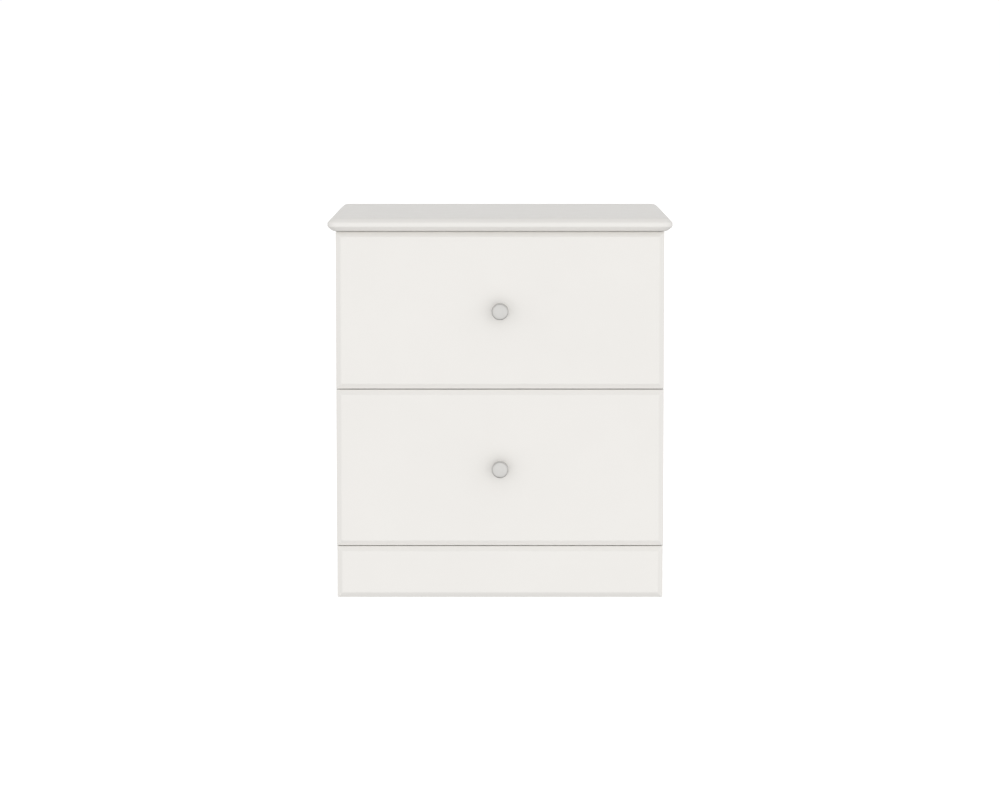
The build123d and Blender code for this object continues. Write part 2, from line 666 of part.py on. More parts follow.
def box_boards(drawer):
    """The boards of a drawer's box before they are drilled, by short name."""
    z_span = box_span(drawer)
    inside = (-BOX_INNER_HALF, BOX_INNER_HALF)
    side = board((-BOX_HALF, -BOX_INNER_HALF), (BOX_Y, BOX_BACK_Y), z_span)
    side = fillet(side.edges().filter_by(Axis.Y), BOX_EDGE_RADIUS)
    boards = {f"{name}_side": hand for name, hand in both_sides(side).items()}
    boards["inner_front"] = board(inside, (BOX_Y, BOX_Y + BOX_THICKNESS), z_span)
    boards["back"] = board(inside, (BOX_BACK_Y - BOX_THICKNESS, BOX_BACK_Y), z_span)
    groove = box_bottom_panel(drawer, BACK_EDGE_PLAY)
    return {name: piece - groove for name, piece in boards.items()}


def box_dowel_places(drawer):
    """The dowels at the four corners of a box, mouth on the sides and pointing inward."""
    low, high = box_span(drawer)
    heights = (low + BOX_FIXING_INSET, high - BOX_FIXING_INSET)
    ys = (BOX_Y + BOX_THICKNESS / 2, BOX_BACK_Y - BOX_THICKNESS / 2)
    return [
        aimed((sign * BOX_INNER_HALF, y, z), (-sign, 0, 0)) for sign in (-1, 1) for y in ys for z in heights
    ]


def front_screw_places(drawer):
    """Screws from inside a box into its front."""
    low, high = box_span(drawer)
    reach = BOX_INNER_HALF - FIXING_INSET
    y = BOX_Y + BOX_THICKNESS
    heights = (low + BOX_FIXING_INSET, high - BOX_FIXING_INSET)
    return [aimed((x, y, z), (0, -1, 0)) for x in (-reach, reach) for z in heights]


def build_drawer(drawer):
    """Writes a drawer's front, box, knob and fixings."""
    dowel_sizes = (BOX_DOWEL_RADIUS, BOX_DOWEL_FACE_DEPTH, BOX_DOWEL_END_DEPTH)
    dowel_places = box_dowel_places(drawer)
    front_places = front_screw_places(drawer)
    runner_places = drawer_runner_screw_places(drawer, -1) + drawer_runner_screw_places(drawer, 1)
    knob_z = FRONT_Z[drawer] + FRONT_HEIGHT / 2
    knob_place = aimed((0, FRONT_Y, knob_z), (0, -1, 0))
    screw_place = aimed((0, BOX_Y + BOX_THICKNESS, knob_z), (0, -1, 0))
    screw_reach = BOX_THICKNESS + FRONT_THICKNESS

    dowel_holes = [place * dowel(*dowel_sizes, FIT, DOWEL_HOLE_DEPTH_PLAY) for place in dowel_places]
    front_holes = [place * wood_screw(FRONT_SCREW_LENGTH, FIT) for place in front_places]
    runner_holes = [place * wood_screw(RUNNER_SCREW_LENGTH, FIT) for place in runner_places]
    knob_hole = screw_place * rod(KNOB_SCREW_RADIUS + KNOB_HOLE_PLAY, 0, screw_reach)
    holes = dowel_holes + front_holes + runner_holes + [knob_hole]

    for name, piece in box_boards(drawer).items():
        save(f"{drawer}_drawer_{name}", drilled(piece, holes))
    save(f"{drawer}_drawer_bottom", box_bottom_panel(drawer))
    save(f"{drawer}_drawer_front", drilled(drawer_front(drawer), holes))
    thread = rod(KNOB_SCREW_RADIUS + FIT, 0, KNOB_SCREW_DEPTH + DOWEL_HOLE_DEPTH_PLAY)
    save(f"{drawer}_drawer_knob", knob_place * (knob() - thread))
    knob_screw = pan_screw(
        screw_reach + KNOB_SCREW_DEPTH, KNOB_SCREW_RADIUS, KNOB_SCREW_HEAD_RADIUS, KNOB_SCREW_HEAD_HEIGHT
    )
    save(f"{drawer}_drawer_knob_screw", screw_place * knob_screw)
    save(f"{drawer}_drawer_box_dowels", [place * dowel(*dowel_sizes) for place in dowel_places])
    front_screws = [place * wood_screw(FRONT_SCREW_LENGTH) for place in front_places]
    save(f"{drawer}_drawer_front_screws", front_screws)
    runner_screws = [place * wood_screw(RUNNER_SCREW_LENGTH) for place in runner_places]
    save(f"{drawer}_drawer_runner_screws", runner_screws)


os.makedirs("parts", exist_ok=True)
build_carcass()
cabinet_rivets = []
for drawer in FRONT_Z:
    build_drawer(drawer)
    cabinet_rivets += build_runners(drawer)
save("cabinet_roller_rivets", cabinet_rivets)
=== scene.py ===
import json
import math
from typing import NamedTuple

import bmesh
import bpy
from mathutils import Matrix, Vector


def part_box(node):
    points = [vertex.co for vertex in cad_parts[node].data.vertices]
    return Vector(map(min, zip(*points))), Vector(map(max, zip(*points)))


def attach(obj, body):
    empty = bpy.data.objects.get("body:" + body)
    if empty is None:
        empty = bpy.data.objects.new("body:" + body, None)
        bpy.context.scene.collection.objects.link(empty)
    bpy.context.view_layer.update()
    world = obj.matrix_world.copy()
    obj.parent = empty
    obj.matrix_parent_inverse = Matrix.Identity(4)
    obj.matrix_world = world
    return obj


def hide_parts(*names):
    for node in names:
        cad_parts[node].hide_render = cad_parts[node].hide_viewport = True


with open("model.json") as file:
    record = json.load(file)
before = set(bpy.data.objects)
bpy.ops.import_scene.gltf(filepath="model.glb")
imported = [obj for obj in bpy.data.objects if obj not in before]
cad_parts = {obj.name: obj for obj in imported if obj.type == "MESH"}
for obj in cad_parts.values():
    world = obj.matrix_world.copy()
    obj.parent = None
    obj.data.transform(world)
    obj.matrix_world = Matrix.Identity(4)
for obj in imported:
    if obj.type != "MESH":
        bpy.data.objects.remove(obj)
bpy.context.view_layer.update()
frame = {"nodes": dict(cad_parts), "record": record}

bl_info = {
    "name": "Nightstand with two drawers",
    "version": (1, 0, 0),
    "blender": (4, 5, 0),
    "location": "3D View > Sidebar > Nightstand",
    "description": "Dresses the boards, drawers, knobs and fittings of a nightstand for a studio picture",
    "category": "Object",
}

MM = 0.001
DRAWERS = ("upper", "lower")
SIDES = ("left", "right")
X_AXIS, Y_AXIS, Z_AXIS = Vector((1, 0, 0)), Vector((0, 1, 0)), Vector((0, 0, 1))
WHITE = (1.0, 1.0, 1.0, 1.0)
BODY_OF = {node: body for body, nodes in frame["record"]["behaviour"]["bodies"].items() for node in nodes}

# Points closer than WELD are one point, and on fasteners those closer than FINE_WELD
WELD = 1e-6
FINE_WELD = 1e-7
# A point this near to a side of a node's box lies on it
ON_BOX = 1e-5
# Faces that meet at less than FLAT_ANGLE are one face, and an edge over SHARP_ANGLE is shaded sharp
FLAT_ANGLE = math.radians(0.5)
SHARP_ANGLE = math.radians(35)
# A face belongs to a side of its board when its normal reaches this far that way
FACING = 0.3


# Properties that a user would change
def number(name, description, default, **limits):
    """A plain number."""
    return bpy.props.FloatProperty(name=name, description=description, default=default, **limits)


def length(name, description, millimetres):
    """A length, given in millimetres and kept in metres."""
    return number(name, description, millimetres * MM, min=0.0, unit="LENGTH", precision=5)


def colour(name, description, default):
    """A base colour."""
    return bpy.props.FloatVectorProperty(
        name=name, description=description, default=default, size=3, min=0.0, max=1.0, subtype="COLOR"
    )


class NightstandSizes(bpy.types.PropertyGroup):
    """Edges, mouldings and turned shapes, in metres"""

    board_ease: length("Board edge", "Rounding on the arrises of the faced boards", 0.7)
    panel_ease: length("Thin panel edge", "Rounding on the edges of the thin panels", 0.3)
    top_corner: length("Top corner", "Plan radius of the two front corners of the top", 13.0)
    nose_height: length("Nose height", "Upright face of the nose before it is rounded", 5.4)
    nose_radius: length("Nose radius", "Rounding above and below the nose", 3.2)
    slope_width: length("Slope width", "How far the slopes run in from the nose", 7.0)
    slope_blend: length("Slope blend", "Radius between a slope and the flat beside it", 12.0)
    bevel_width: length("Bevel width", "Bevel round the drawer fronts and the plinth, across the face", 6.8)
    bevel_depth: length("Bevel depth", "Bevel round the drawer fronts and the plinth, into the edge", 4.6)
    bevel_blend: length("Bevel blend", "Radius between a face and its bevel", 4.0)
    bevel_arris: length("Bevel arris", "Radius between a bevel and the edge of its board", 1.2)
    front_corner: length("Front corner", "Plan radius at the corners of a drawer front", 0.7)
    plinth_corner: length("Plinth corner", "Plan radius at the corners of the plinth's face", 1.2)
    knob_foot: length("Knob foot", "Radius where a knob meets its drawer front", 7.5)
    knob_neck: length("Knob neck", "Radius of a knob's neck", 5.5)
    knob_neck_length: length("Knob neck length", "From the drawer front to the narrowest place", 8.5)
    knob_flare: length("Knob flare", "Length over which the neck opens to the head", 4.5)
    knob_dome: length("Knob dome", "How far the face of a knob is domed", 1.0)
    knob_rim: length("Knob rim", "Radius round the face of a knob", 2.6)


class NightstandColours(bpy.types.PropertyGroup):
    """Base colours of the finishes"""

    foil: colour("Foil", "Warm white foil on the top, drawer fronts and plinth", (0.849, 0.830, 0.798))
    board: colour("Board", "Warm white facing of the carcass boards", (0.860, 0.845, 0.810))
    box: colour("Box board", "White wrap of the drawer boxes", (0.850, 0.842, 0.815))
    chip: colour("Chipboard", "Raw board where an edge isn't banded", (0.520, 0.370, 0.215))
    fibre: colour("Hardboard", "Brown back of the thin panels", (0.265, 0.150, 0.075))
    beech: colour("Beech", "Dowels", (0.620, 0.410, 0.230))
    nickel: colour("Satin nickel", "Knobs", (0.624, 0.616, 0.598))
    zinc: colour("Zinc plate", "Screws, bolts and rivets", (0.640, 0.655, 0.670))
    casting: colour("Zinc casting", "Cam locks", (0.480, 0.480, 0.490))
    epoxy: colour("Epoxy coat", "Runners", (0.800, 0.800, 0.780))
    nylon: colour("Nylon", "Rollers", (0.830, 0.820, 0.780))
    buffer: colour("Buffer", "Soft buffers behind the drawer fronts", (0.780, 0.780, 0.760))
    block: colour("Block", "Moulded corner blocks", (0.800, 0.795, 0.770))
    floor: colour("Floor", "Pale studio floor", (0.800, 0.800, 0.800))


class NightstandStage(bpy.types.PropertyGroup):
    """Camera and studio light"""

    camera_distance: length("Camera distance", "From the camera to the nose of the top", 4700.0)
    camera_height: length("Camera height", "Of the camera above the floor", 733.4)
    camera_pitch: number(
        "Camera pitch", "How far the camera looks down", math.radians(5.7225), subtype="ANGLE"
    )
    camera_lens: number("Camera lens", "Focal length", 130.29, min=1.0, unit="CAMERA")
    sky_above: number("Light from above", "Brightness of the studio overhead", 0.616, min=0.0)
    sky_around: number("Light from around", "Brightness of the studio walls", 0.961, min=0.0)
    sky_below: number("Light from below", "Brightness thrown up by the studio floor", 0.291, min=0.0)
    front_glow: number("Light from the front", "Brightness that the front light adds", 0.881, min=0.0)
    front_side: number("Front light to the right", "How far right of the middle the front light stands", 0.08)
    front_drop: number("Front light downwards", "How far below the middle the front light stands", 0.125)
    front_focus: number("Front light focus", "How fast the front light fades from its middle", 4.0, min=0.0)
    floor_glow: number("Floor glow", "Light that the floor gives off", 0.62, min=0.0)
    backdrop: number("Backdrop", "Brightness of the backdrop that the camera sees", 1.02, min=0.0)


# Material building blocks
def add(tree, kind, inputs=None, **settings):
    """A node with its settings, and its inputs set or linked."""
    node = tree.nodes.new(kind)
    for key, value in settings.items():
        setattr(node, key, value)
    for key, value in (inputs or {}).items():
        if isinstance(value, bpy.types.NodeSocket):
            tree.links.new(value, node.inputs[key])
        else:
            node.inputs[key].default_value = value
    return node


def made(tree, kind, output, inputs=None, **settings):
    """One output of a new node."""
    return add(tree, kind, inputs, **settings).outputs[output]


def shade(tint, share):
    """A colour made darker or lighter."""
    return tuple(min(channel * share, 1.0) for channel in tint)


def noise(tree, place, scale, detail=2.0, roughness=0.5):
    """Soft noise, with scale in waves to the metre."""
    inputs = {"Vector": place, "Scale": scale, "Detail": detail, "Roughness": roughness}
    return made(tree, "ShaderNodeTexNoise", "Fac", inputs)


def stretched(tree, place, scale):
    """Coordinates scaled along each axis."""
    return made(tree, "ShaderNodeMapping", "Vector", {"Vector": place, "Scale": scale})


def ramp(tree, factor, stops):
    """Colours by factor, from (position, colour) stops."""
    node = add(tree, "ShaderNodeValToRGB", {"Fac": factor})
    points = node.color_ramp.elements
    while len(points) < len(stops):
        points.new(0.5)
    for point, (position, tint) in zip(points, stops):
        point.position = position
        point.color = (*tint, 1.0)
    return node.outputs["Color"]


def shaded(tree, factor, tint, *stops):
    """Shades of one colour by factor, from (position, share) stops."""
    return ramp(tree, factor, [(position, shade(tint, share)) for position, share in stops])


def spread(tree, factor, low, high, start=0.35, end=0.65):
    """A number between low and high as factor goes from start to end."""
    inputs = {"Value": factor, "From Min": start, "From Max": end, "To Min": low, "To Max": high}
    return made(tree, "ShaderNodeMapRange", "Result", inputs)


def mixed(tree, first, second, share):
    """Two heights added, the second weighted by share."""
    return made(tree, "ShaderNodeMath", "Value", {0: second, 1: share, 2: first}, operation="MULTIPLY_ADD")


def begin(name, **constants):
    """A new material, its tree, its shader with constant inputs set, and object coordinates."""
    material = bpy.data.materials.new(f"{name}_finish")
    material.use_nodes = True
    tree = material.node_tree
    shader = tree.nodes["Principled BSDF"]
    for key, value in constants.items():
        shader.inputs[key.replace("_", " ")].default_value = value
    place = made(tree, "ShaderNodeTexCoord", "Object")
    return material, tree, shader, place


def finish_surface(tree, shader, tint, roughness, height, depth):
    """Links colour, roughness and a bump of that depth in metres."""
    tree.links.new(tint, shader.inputs["Base Color"])
    tree.links.new(roughness, shader.inputs["Roughness"])
    bump = add(tree, "ShaderNodeBump", {"Height": height, "Strength": 1.0, "Distance": depth})
    tree.links.new(bump.outputs["Normal"], shader.inputs["Normal"])


# Finishes, by name
def white_foil(colours):
    """Satin foil pressed over fibreboard: even, with a very fine orange peel."""
    material, tree, shader, place = begin("white_foil", IOR=1.46)
    cloud = noise(tree, place, scale=5.0, detail=3.0)
    tint = shaded(tree, cloud, colours.foil, (0.3, 0.992), (0.7, 1.006))
    roughness = spread(tree, noise(tree, place, scale=34.0, detail=4.0), 0.40, 0.50)
    peel = mixed(tree, noise(tree, place, scale=900.0), noise(tree, place, scale=210.0), 0.8)
    finish_surface(tree, shader, tint, roughness, peel, depth=8e-6)
    return material


def white_board(colours):
    """Faced board with a fine pearl texture."""
    material, tree, shader, place = begin("white_board", IOR=1.48)
    cloud = noise(tree, place, scale=6.0, detail=3.0)
    tint = shaded(tree, cloud, colours.board, (0.3, 0.988), (0.7, 1.006))
    roughness = spread(tree, noise(tree, place, scale=60.0, detail=4.0), 0.44, 0.56)
    fine = noise(tree, place, scale=1500.0, detail=1.0)
    pearl = mixed(tree, fine, noise(tree, place, scale=420.0, detail=3.0), 1.2)
    finish_surface(tree, shader, tint, roughness, pearl, depth=1.4e-5)
    return material


def drawer_board(colours):
    """Wrapped drawer board with a faint lengthways emboss."""
    material, tree, shader, place = begin("drawer_board", IOR=1.48)
    lengthways = stretched(tree, place, (60.0, 60.0, 1400.0))
    grain = noise(tree, lengthways, scale=1.0, detail=4.0, roughness=0.6)
    tint = shaded(tree, grain, colours.box, (0.25, 0.978), (0.75, 1.006))
    fine = mixed(tree, grain, noise(tree, place, scale=1300.0, detail=1.0), 0.4)
    finish_surface(tree, shader, tint, spread(tree, grain, 0.42, 0.54), fine, depth=1.6e-5)
    return material


def raw_chipboard(colours):
    """Pressed chips and dust on an edge that isn't banded."""
    material, tree, shader, place = begin("raw_chipboard", Specular_IOR_Level=0.25)
    flattened = stretched(tree, place, (420.0, 420.0, 640.0))
    cells = made(tree, "ShaderNodeTexVoronoi", "Color", {"Vector": flattened, "Scale": 1.0})
    chip = made(tree, "ShaderNodeSeparateColor", "Red", {"Color": cells})
    dust = noise(tree, place, scale=1700.0, detail=3.0, roughness=0.65)
    mix = mixed(tree, dust, chip, 0.9)
    span = 1.3
    stops = [(0.30, 0.50), (0.55, 0.80), (0.80, 1.02), (1.0, 1.28), (1.25, 1.45)]
    tint = shaded(tree, mix, colours.chip, *[(level / span, share) for level, share in stops])
    finish_surface(tree, shader, tint, spread(tree, dust, 0.75, 0.92), mix, depth=2.2e-4)
    return material


def brown_hardboard(colours):
    """The screened back of hardboard: matted fibre with the print of a wire cloth."""
    material, tree, shader, place = begin("brown_hardboard", Specular_IOR_Level=0.3)
    fibre = noise(tree, place, scale=240.0, detail=6.0, roughness=0.7)
    tone = mixed(tree, fibre, noise(tree, place, scale=14.0, detail=4.0), 0.3)
    tint = shaded(tree, tone, colours.fibre, (0.4, 0.72), (0.65, 1.0), (0.85, 1.35))
    print_of = {"Vector": place, "Scale": 190.0, "Distortion": 0.6}
    wires = [made(tree, "ShaderNodeTexWave", "Fac", print_of, bands_direction=axis) for axis in ("X", "Z")]
    cloth = mixed(tree, mixed(tree, wires[0], wires[1], 1.0), fibre, 1.4)
    finish_surface(tree, shader, tint, spread(tree, fibre, 0.62, 0.8), cloth, depth=8e-5)
    return material


def white_hardboard(colours):
    """The painted face of the thin panels."""
    material, tree, shader, place = begin("white_hardboard", IOR=1.48)
    fibre = noise(tree, place, scale=160.0, detail=5.0, roughness=0.65)
    tint = shaded(tree, fibre, colours.box, (0.3, 0.962), (0.7, 0.992))
    roughness = spread(tree, noise(tree, place, scale=45.0, detail=3.0), 0.36, 0.5)
    skin = mixed(tree, fibre, noise(tree, place, scale=1100.0), 0.5)
    finish_surface(tree, shader, tint, roughness, skin, depth=2.0e-5)
    return material


def beech(colours):
    """Pale beech with short dark flecks."""
    material, tree, shader, place = begin("beech", Specular_IOR_Level=0.35)
    lengthways = stretched(tree, place, (160.0, 900.0, 900.0))
    grain = noise(tree, lengthways, scale=1.0, detail=4.0, roughness=0.6)
    flecks = noise(tree, stretched(tree, place, (420.0, 2600.0, 2600.0)), scale=1.0)
    tone = mixed(tree, grain, flecks, 0.5)
    tint = shaded(tree, tone, colours.beech, (0.5, 0.72), (0.72, 1.0), (0.95, 1.18))
    finish_surface(tree, shader, tint, spread(tree, grain, 0.5, 0.7), tone, depth=6e-5)
    return material


def satin_nickel(colours):
    """Plated knob, brushed round its axis; the lines follow the turning's own map."""
    material, tree, shader, place = begin("satin_nickel", Metallic=1.0)
    round_axis = stretched(tree, made(tree, "ShaderNodeUVMap", "UV", uv_map="turning"), (5.0, 420.0, 1.0))
    lines = noise(tree, round_axis, scale=1.0, detail=3.0, roughness=0.6)
    cloud = noise(tree, place, scale=90.0, detail=3.0)
    tint = shaded(tree, cloud, colours.nickel, (0.3, 0.97), (0.7, 1.02))
    finish_surface(tree, shader, tint, spread(tree, lines, 0.52, 0.62), lines, depth=4e-6)
    return material


def metal(name, tint, roughness, pits, depth):
    """Plated or cast metal with a mottled, slightly pitted skin."""
    material, tree, shader, place = begin(name, Metallic=1.0)
    cloud = noise(tree, place, scale=420.0, detail=4.0, roughness=0.6)
    skin = noise(tree, place, scale=pits, detail=3.0, roughness=0.6)
    tone = shaded(tree, cloud, tint, (0.3, 0.84), (0.7, 1.06))
    finish_surface(tree, shader, tone, spread(tree, skin, *roughness), skin, depth)
    return material


def zinc_steel(colours):
    """Bright zinc plate on the screws, bolts and rivets."""
    return metal("zinc_steel", colours.zinc, roughness=(0.22, 0.38), pits=2600.0, depth=6e-6)


def zinc_casting(colours):
    """Dull cast zinc of the cam locks."""
    return metal("zinc_casting", colours.casting, roughness=(0.42, 0.62), pits=1500.0, depth=4e-5)


def moulded(name, tint, roughness, texture, depth, **constants):
    """Coats and plastics: an even colour with a skin of fine bumps."""
    material, tree, shader, place = begin(name, **constants)
    fine = noise(tree, place, scale=texture, detail=3.0)
    skin = mixed(tree, fine, noise(tree, place, scale=texture / 5), 0.6)
    cloud = noise(tree, place, scale=26.0, detail=3.0)
    tone = shaded(tree, cloud, tint, (0.3, 0.975), (0.7, 1.012))
    finish_surface(tree, shader, tone, spread(tree, skin, *roughness, start=0.6, end=1.0), skin, depth)
    return material


def coated_steel(colours):
    """White epoxy coat on the bent sheet of the runners."""
    return moulded(
        "coated_steel", colours.epoxy, roughness=(0.30, 0.42), texture=1100.0, depth=1.4e-5, IOR=1.5
    )


def nylon(colours):
    """Natural nylon of the rollers, which lets in a little light."""
    return moulded(
        "nylon", colours.nylon, roughness=(0.34, 0.5), texture=1600.0, depth=8e-6,
        IOR=1.53, Subsurface_Weight=0.12, Subsurface_Scale=0.004,
    )


def soft_buffer(colours):
    """Soft, pale plastic of the buffers, which lets in more light."""
    return moulded(
        "soft_buffer", colours.buffer, roughness=(0.18, 0.28), texture=900.0, depth=4e-6,
        IOR=1.45, Subsurface_Weight=0.3, Subsurface_Scale=0.003,
    )


def block_plastic(colours):
    """Moulded plastic of the corner blocks."""
    return moulded(
        "block_plastic", colours.block, roughness=(0.45, 0.6), texture=2200.0, depth=2.0e-5, IOR=1.5
    )


def finish(builder):
    """The material that a builder makes, made once."""
    ready = bpy.data.materials.get(f"{builder.__name__}_finish")
    return ready or builder(bpy.context.scene.nightstand_colours)


# Shapes
def rounded_path(corners, radii, steps=6, support=0.15 * MM):
    """A path through 2-D corners, with an arc of each radius at the corners between its ends.
    Each arc has one more point close before and after it, so that the flats beside it shade flat."""
    path = [Vector(corners[0])]
    for before, corner, after, radius in zip(corners, corners[1:], corners[2:], radii):
        corner = Vector(corner)
        back, forth = (Vector(before) - corner).normalized(), (Vector(after) - corner).normalized()
        half = back.angle(forth) / 2
        reach = radius / math.tan(half)
        centre = corner + (back + forth).normalized() * radius / math.sin(half)
        arm = corner + back * reach - centre
        turn = math.pi - 2 * half
        if back.x * forth.y - back.y * forth.x > 0:
            turn = -turn
        path.append(corner + back * (reach + support))
        path += [centre + Matrix.Rotation(turn * step / steps, 2) @ arm for step in range(steps + 1)]
        path.append(corner + forth * (reach + support))
    return [*path, Vector(corners[-1])]


def arc(centre, radius, start, end, steps):
    """Points on an arc between two angles in degrees."""
    angles = [math.radians(start + (end - start) * step / steps) for step in range(steps + 1)]
    return [(centre[0] + radius * math.cos(a), centre[1] + radius * math.sin(a)) for a in angles]


def rectangle_plan(half_u, half_v, radius, steps=4):
    """A function that gives the rectangle, its corners rounded alike, at an inset."""

    def plan(inset):
        u, v = half_u - inset - radius, half_v - inset - radius
        corners = ((u, v, 0), (-u, v, 90), (-u, -v, 180), (u, -v, 270))
        turns = [arc((cu, cv), radius, start, start + 90, steps) for cu, cv, start in corners]
        return [point for turn in turns for point in turn]

    return plan


def top_plan(low, high, corner, steps=10):
    """A function that gives the plan of the top at an inset from its front and sides; the back stays."""

    def plan(inset):
        radius = corner - inset
        left, right, front = low.x + inset + radius, high.x - inset - radius, low.y + inset + radius
        ends = [(high.x - inset, high.y), (low.x + inset, high.y)]
        left_turn = arc((left, front), radius, 180, 270, steps)
        right_turn = arc((right, front), radius, 270, 360, steps)
        return ends + left_turn + right_turn

    return plan


def rimmed_panel(plan, profile, place):
    """A panel whose edge profile of (inset, height) points runs all round its plan."""
    bm = bmesh.new()
    loops = [[bm.verts.new(place(u, v, height)) for u, v in plan(inset)] for inset, height in profile]
    count = len(loops[0])
    for lower, upper in zip(loops, loops[1:]):
        for i in range(count):
            j = (i + 1) % count
            bm.faces.new((lower[i], lower[j], upper[j], upper[i])).smooth = True
    bm.faces.new(loops[0][::-1])
    bm.faces.new(loops[-1])
    bmesh.ops.recalc_face_normals(bm, faces=bm.faces[:])
    return bm


def turned_shape(profile, centre, axis, steps):
    """A closed body of revolution from (radius, distance along the axis) points, with a map round it."""
    bm = bmesh.new()
    layer = bm.loops.layers.uv.new("turning")
    across = axis.orthogonal().normalized()
    up = axis.cross(across)
    turns = [2 * math.pi * step / steps for step in range(steps)]
    rings = []
    for radius, along in profile:
        middle = centre + axis * along
        spokes = [axis * 0]
        if radius > WELD:
            spokes = [across * math.cos(turn) + up * math.sin(turn) for turn in turns]
        rings.append([bm.verts.new(middle + spoke * radius) for spoke in spokes])
    for row, (lower, upper) in enumerate(zip(rings, rings[1:])):
        for i in range(steps):
            corners = ((lower, i, row), (lower, i + 1, row), (upper, i + 1, row + 1), (upper, i, row + 1))
            spots = {}
            for ring, column, level in corners:
                spots.setdefault(ring[column % len(ring)], (column / steps, level / len(rings)))
            face = bm.faces.new(spots)
            face.smooth = True
            for loop in face.loops:
                loop[layer].uv = spots[loop.vert]
    bmesh.ops.recalc_face_normals(bm, faces=bm.faces[:])
    return bm


def merged_copy(node):
    """A node's triangles joined along their edges."""
    bm = bmesh.new()
    bm.from_mesh(frame["nodes"][node].data)
    bmesh.ops.remove_doubles(bm, verts=bm.verts[:], dist=WELD)
    return bm


def on_box_edge(edge, low, high):
    """True for an edge that runs along an edge of the box."""
    sides = 0
    for axis in range(3):
        for limit in (low, high):
            sides += all(abs(vert.co[axis] - limit[axis]) < ON_BOX for vert in edge.verts)
    return sides >= 2


def eased_copy(node, ease):
    """A board with its holes and grooves as drilled and its outer arrises rounded."""
    bm = merged_copy(node)
    low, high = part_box(node)
    bmesh.ops.dissolve_limit(bm, angle_limit=FLAT_ANGLE, verts=bm.verts[:], edges=bm.edges[:])
    arrises = [edge for edge in bm.edges if on_box_edge(edge, low, high)]
    rounded = bmesh.ops.bevel(
        bm,
        geom=arrises,
        offset=ease,
        offset_type="OFFSET",
        segments=3,
        profile=0.5,
        affect="EDGES",
        clamp_overlap=True,
    )
    for face in bm.faces:
        face.smooth = False
    for face in rounded["faces"]:
        face.smooth = True
    bmesh.ops.triangulate(bm, faces=[face for face in bm.faces if len(face.verts) > 4])
    return bm


# Pieces
def make_piece(name, bm, *finishes):
    """A shown object from a mesh under construction."""
    mesh = bpy.data.meshes.new(name)
    bm.to_mesh(mesh)
    bm.free()
    for attribute in [a for a in mesh.attributes if a.name == "custom_normal"]:
        mesh.attributes.remove(attribute)
    mesh.set_sharp_from_angle(angle=SHARP_ANGLE)
    for builder in finishes:
        mesh.materials.append(finish(builder))
    piece = bpy.data.objects.new(name, mesh)
    bpy.context.scene.collection.objects.link(piece)
    return piece


def dress(piece, node):
    """The piece stands for a node: it moves with the node's body, and the node is hidden."""
    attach(piece, BODY_OF[node])
    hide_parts(node)


def coat(node, builder):
    """A node keeps its shape and gets a finish."""
    thing = frame["nodes"][node]
    if not thing.material_slots:
        thing.data.materials.append(None)
    for slot in thing.material_slots:
        slot.material = finish(builder)


class PieceOperator:
    """What all the piece operators share"""

    bl_options = {"REGISTER", "UNDO"}

    @property
    def sizes(self):
        return bpy.context.scene.nightstand_sizes


# What is left of the top's plan corners where its flat starts, and the least normal of its square back
LEAST_CORNER = 0.4 * MM
SQUARE_BACK = 0.99
# Width of the band of a bevelled board's back beside its eased edge
BACK_BAND = 2 * MM


class NIGHTSTAND_OT_top(PieceOperator, bpy.types.Operator):
    """Makes the moulded top: a pointed, rounded nose on its front and sides, square at the back"""

    bl_idname = "nightstand.top"
    bl_label = "Moulded top"

    def execute(self, context):
        sizes = self.sizes
        low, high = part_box("top_panel")
        slope_height = (high.z - low.z - sizes.nose_height) / 2
        flat = sizes.top_corner - LEAST_CORNER
        corners = [
            (flat, low.z),
            (sizes.slope_width, low.z),
            (0, low.z + slope_height),
            (0, high.z - slope_height),
            (sizes.slope_width, high.z),
            (flat, high.z),
        ]
        radii = [sizes.slope_blend, sizes.nose_radius, sizes.nose_radius, sizes.slope_blend]
        plan = top_plan(low, high, sizes.top_corner)
        profile = rounded_path(corners, radii, steps=8)
        bm = rimmed_panel(plan, profile, lambda u, v, height: Vector((u, v, height)))
        for face in bm.faces:
            face.smooth = face.smooth and face.normal.y < SQUARE_BACK
        dress(make_piece("moulded_top", bm, white_foil), "top_panel")
        return {"FINISHED"}


def bevelled_board(node, sizes, corner):
    """A board that faces the front, with the soft bevel round its face and its back edges eased."""
    low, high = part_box(node)
    middle, thickness = (low + high) / 2, high.y - low.y
    corners = [
        (BACK_BAND, thickness),
        (0, thickness),
        (0, sizes.bevel_depth),
        (sizes.bevel_width, 0),
        (sizes.bevel_width + sizes.bevel_blend, 0),
    ]
    profile = rounded_path(corners, [sizes.board_ease, sizes.bevel_arris, sizes.bevel_blend])
    plan = rectangle_plan((high.x - low.x) / 2, (high.z - low.z) / 2, corner)

    def place(u, v, depth):
        return Vector((middle.x + u, low.y + depth, middle.z + v))

    return rimmed_panel(plan, profile, place)


class NIGHTSTAND_OT_drawer_fronts(PieceOperator, bpy.types.Operator):
    """Makes the two drawer fronts with the soft bevel round their faces"""

    bl_idname = "nightstand.drawer_fronts"
    bl_label = "Drawer fronts"

    def execute(self, context):
        for drawer in DRAWERS:
            node = f"{drawer}_drawer_front"
            bm = bevelled_board(node, self.sizes, self.sizes.front_corner)
            dress(make_piece(f"{drawer}_front_board", bm, white_foil), node)
        return {"FINISHED"}


class NIGHTSTAND_OT_plinth(PieceOperator, bpy.types.Operator):
    """Makes the plinth board with the same bevel"""

    bl_idname = "nightstand.plinth"
    bl_label = "Plinth"

    def execute(self, context):
        bm = bevelled_board("plinth_front", self.sizes, self.sizes.plinth_corner)
        dress(make_piece("plinth_board", bm, white_foil), "plinth_front")
        return {"FINISHED"}


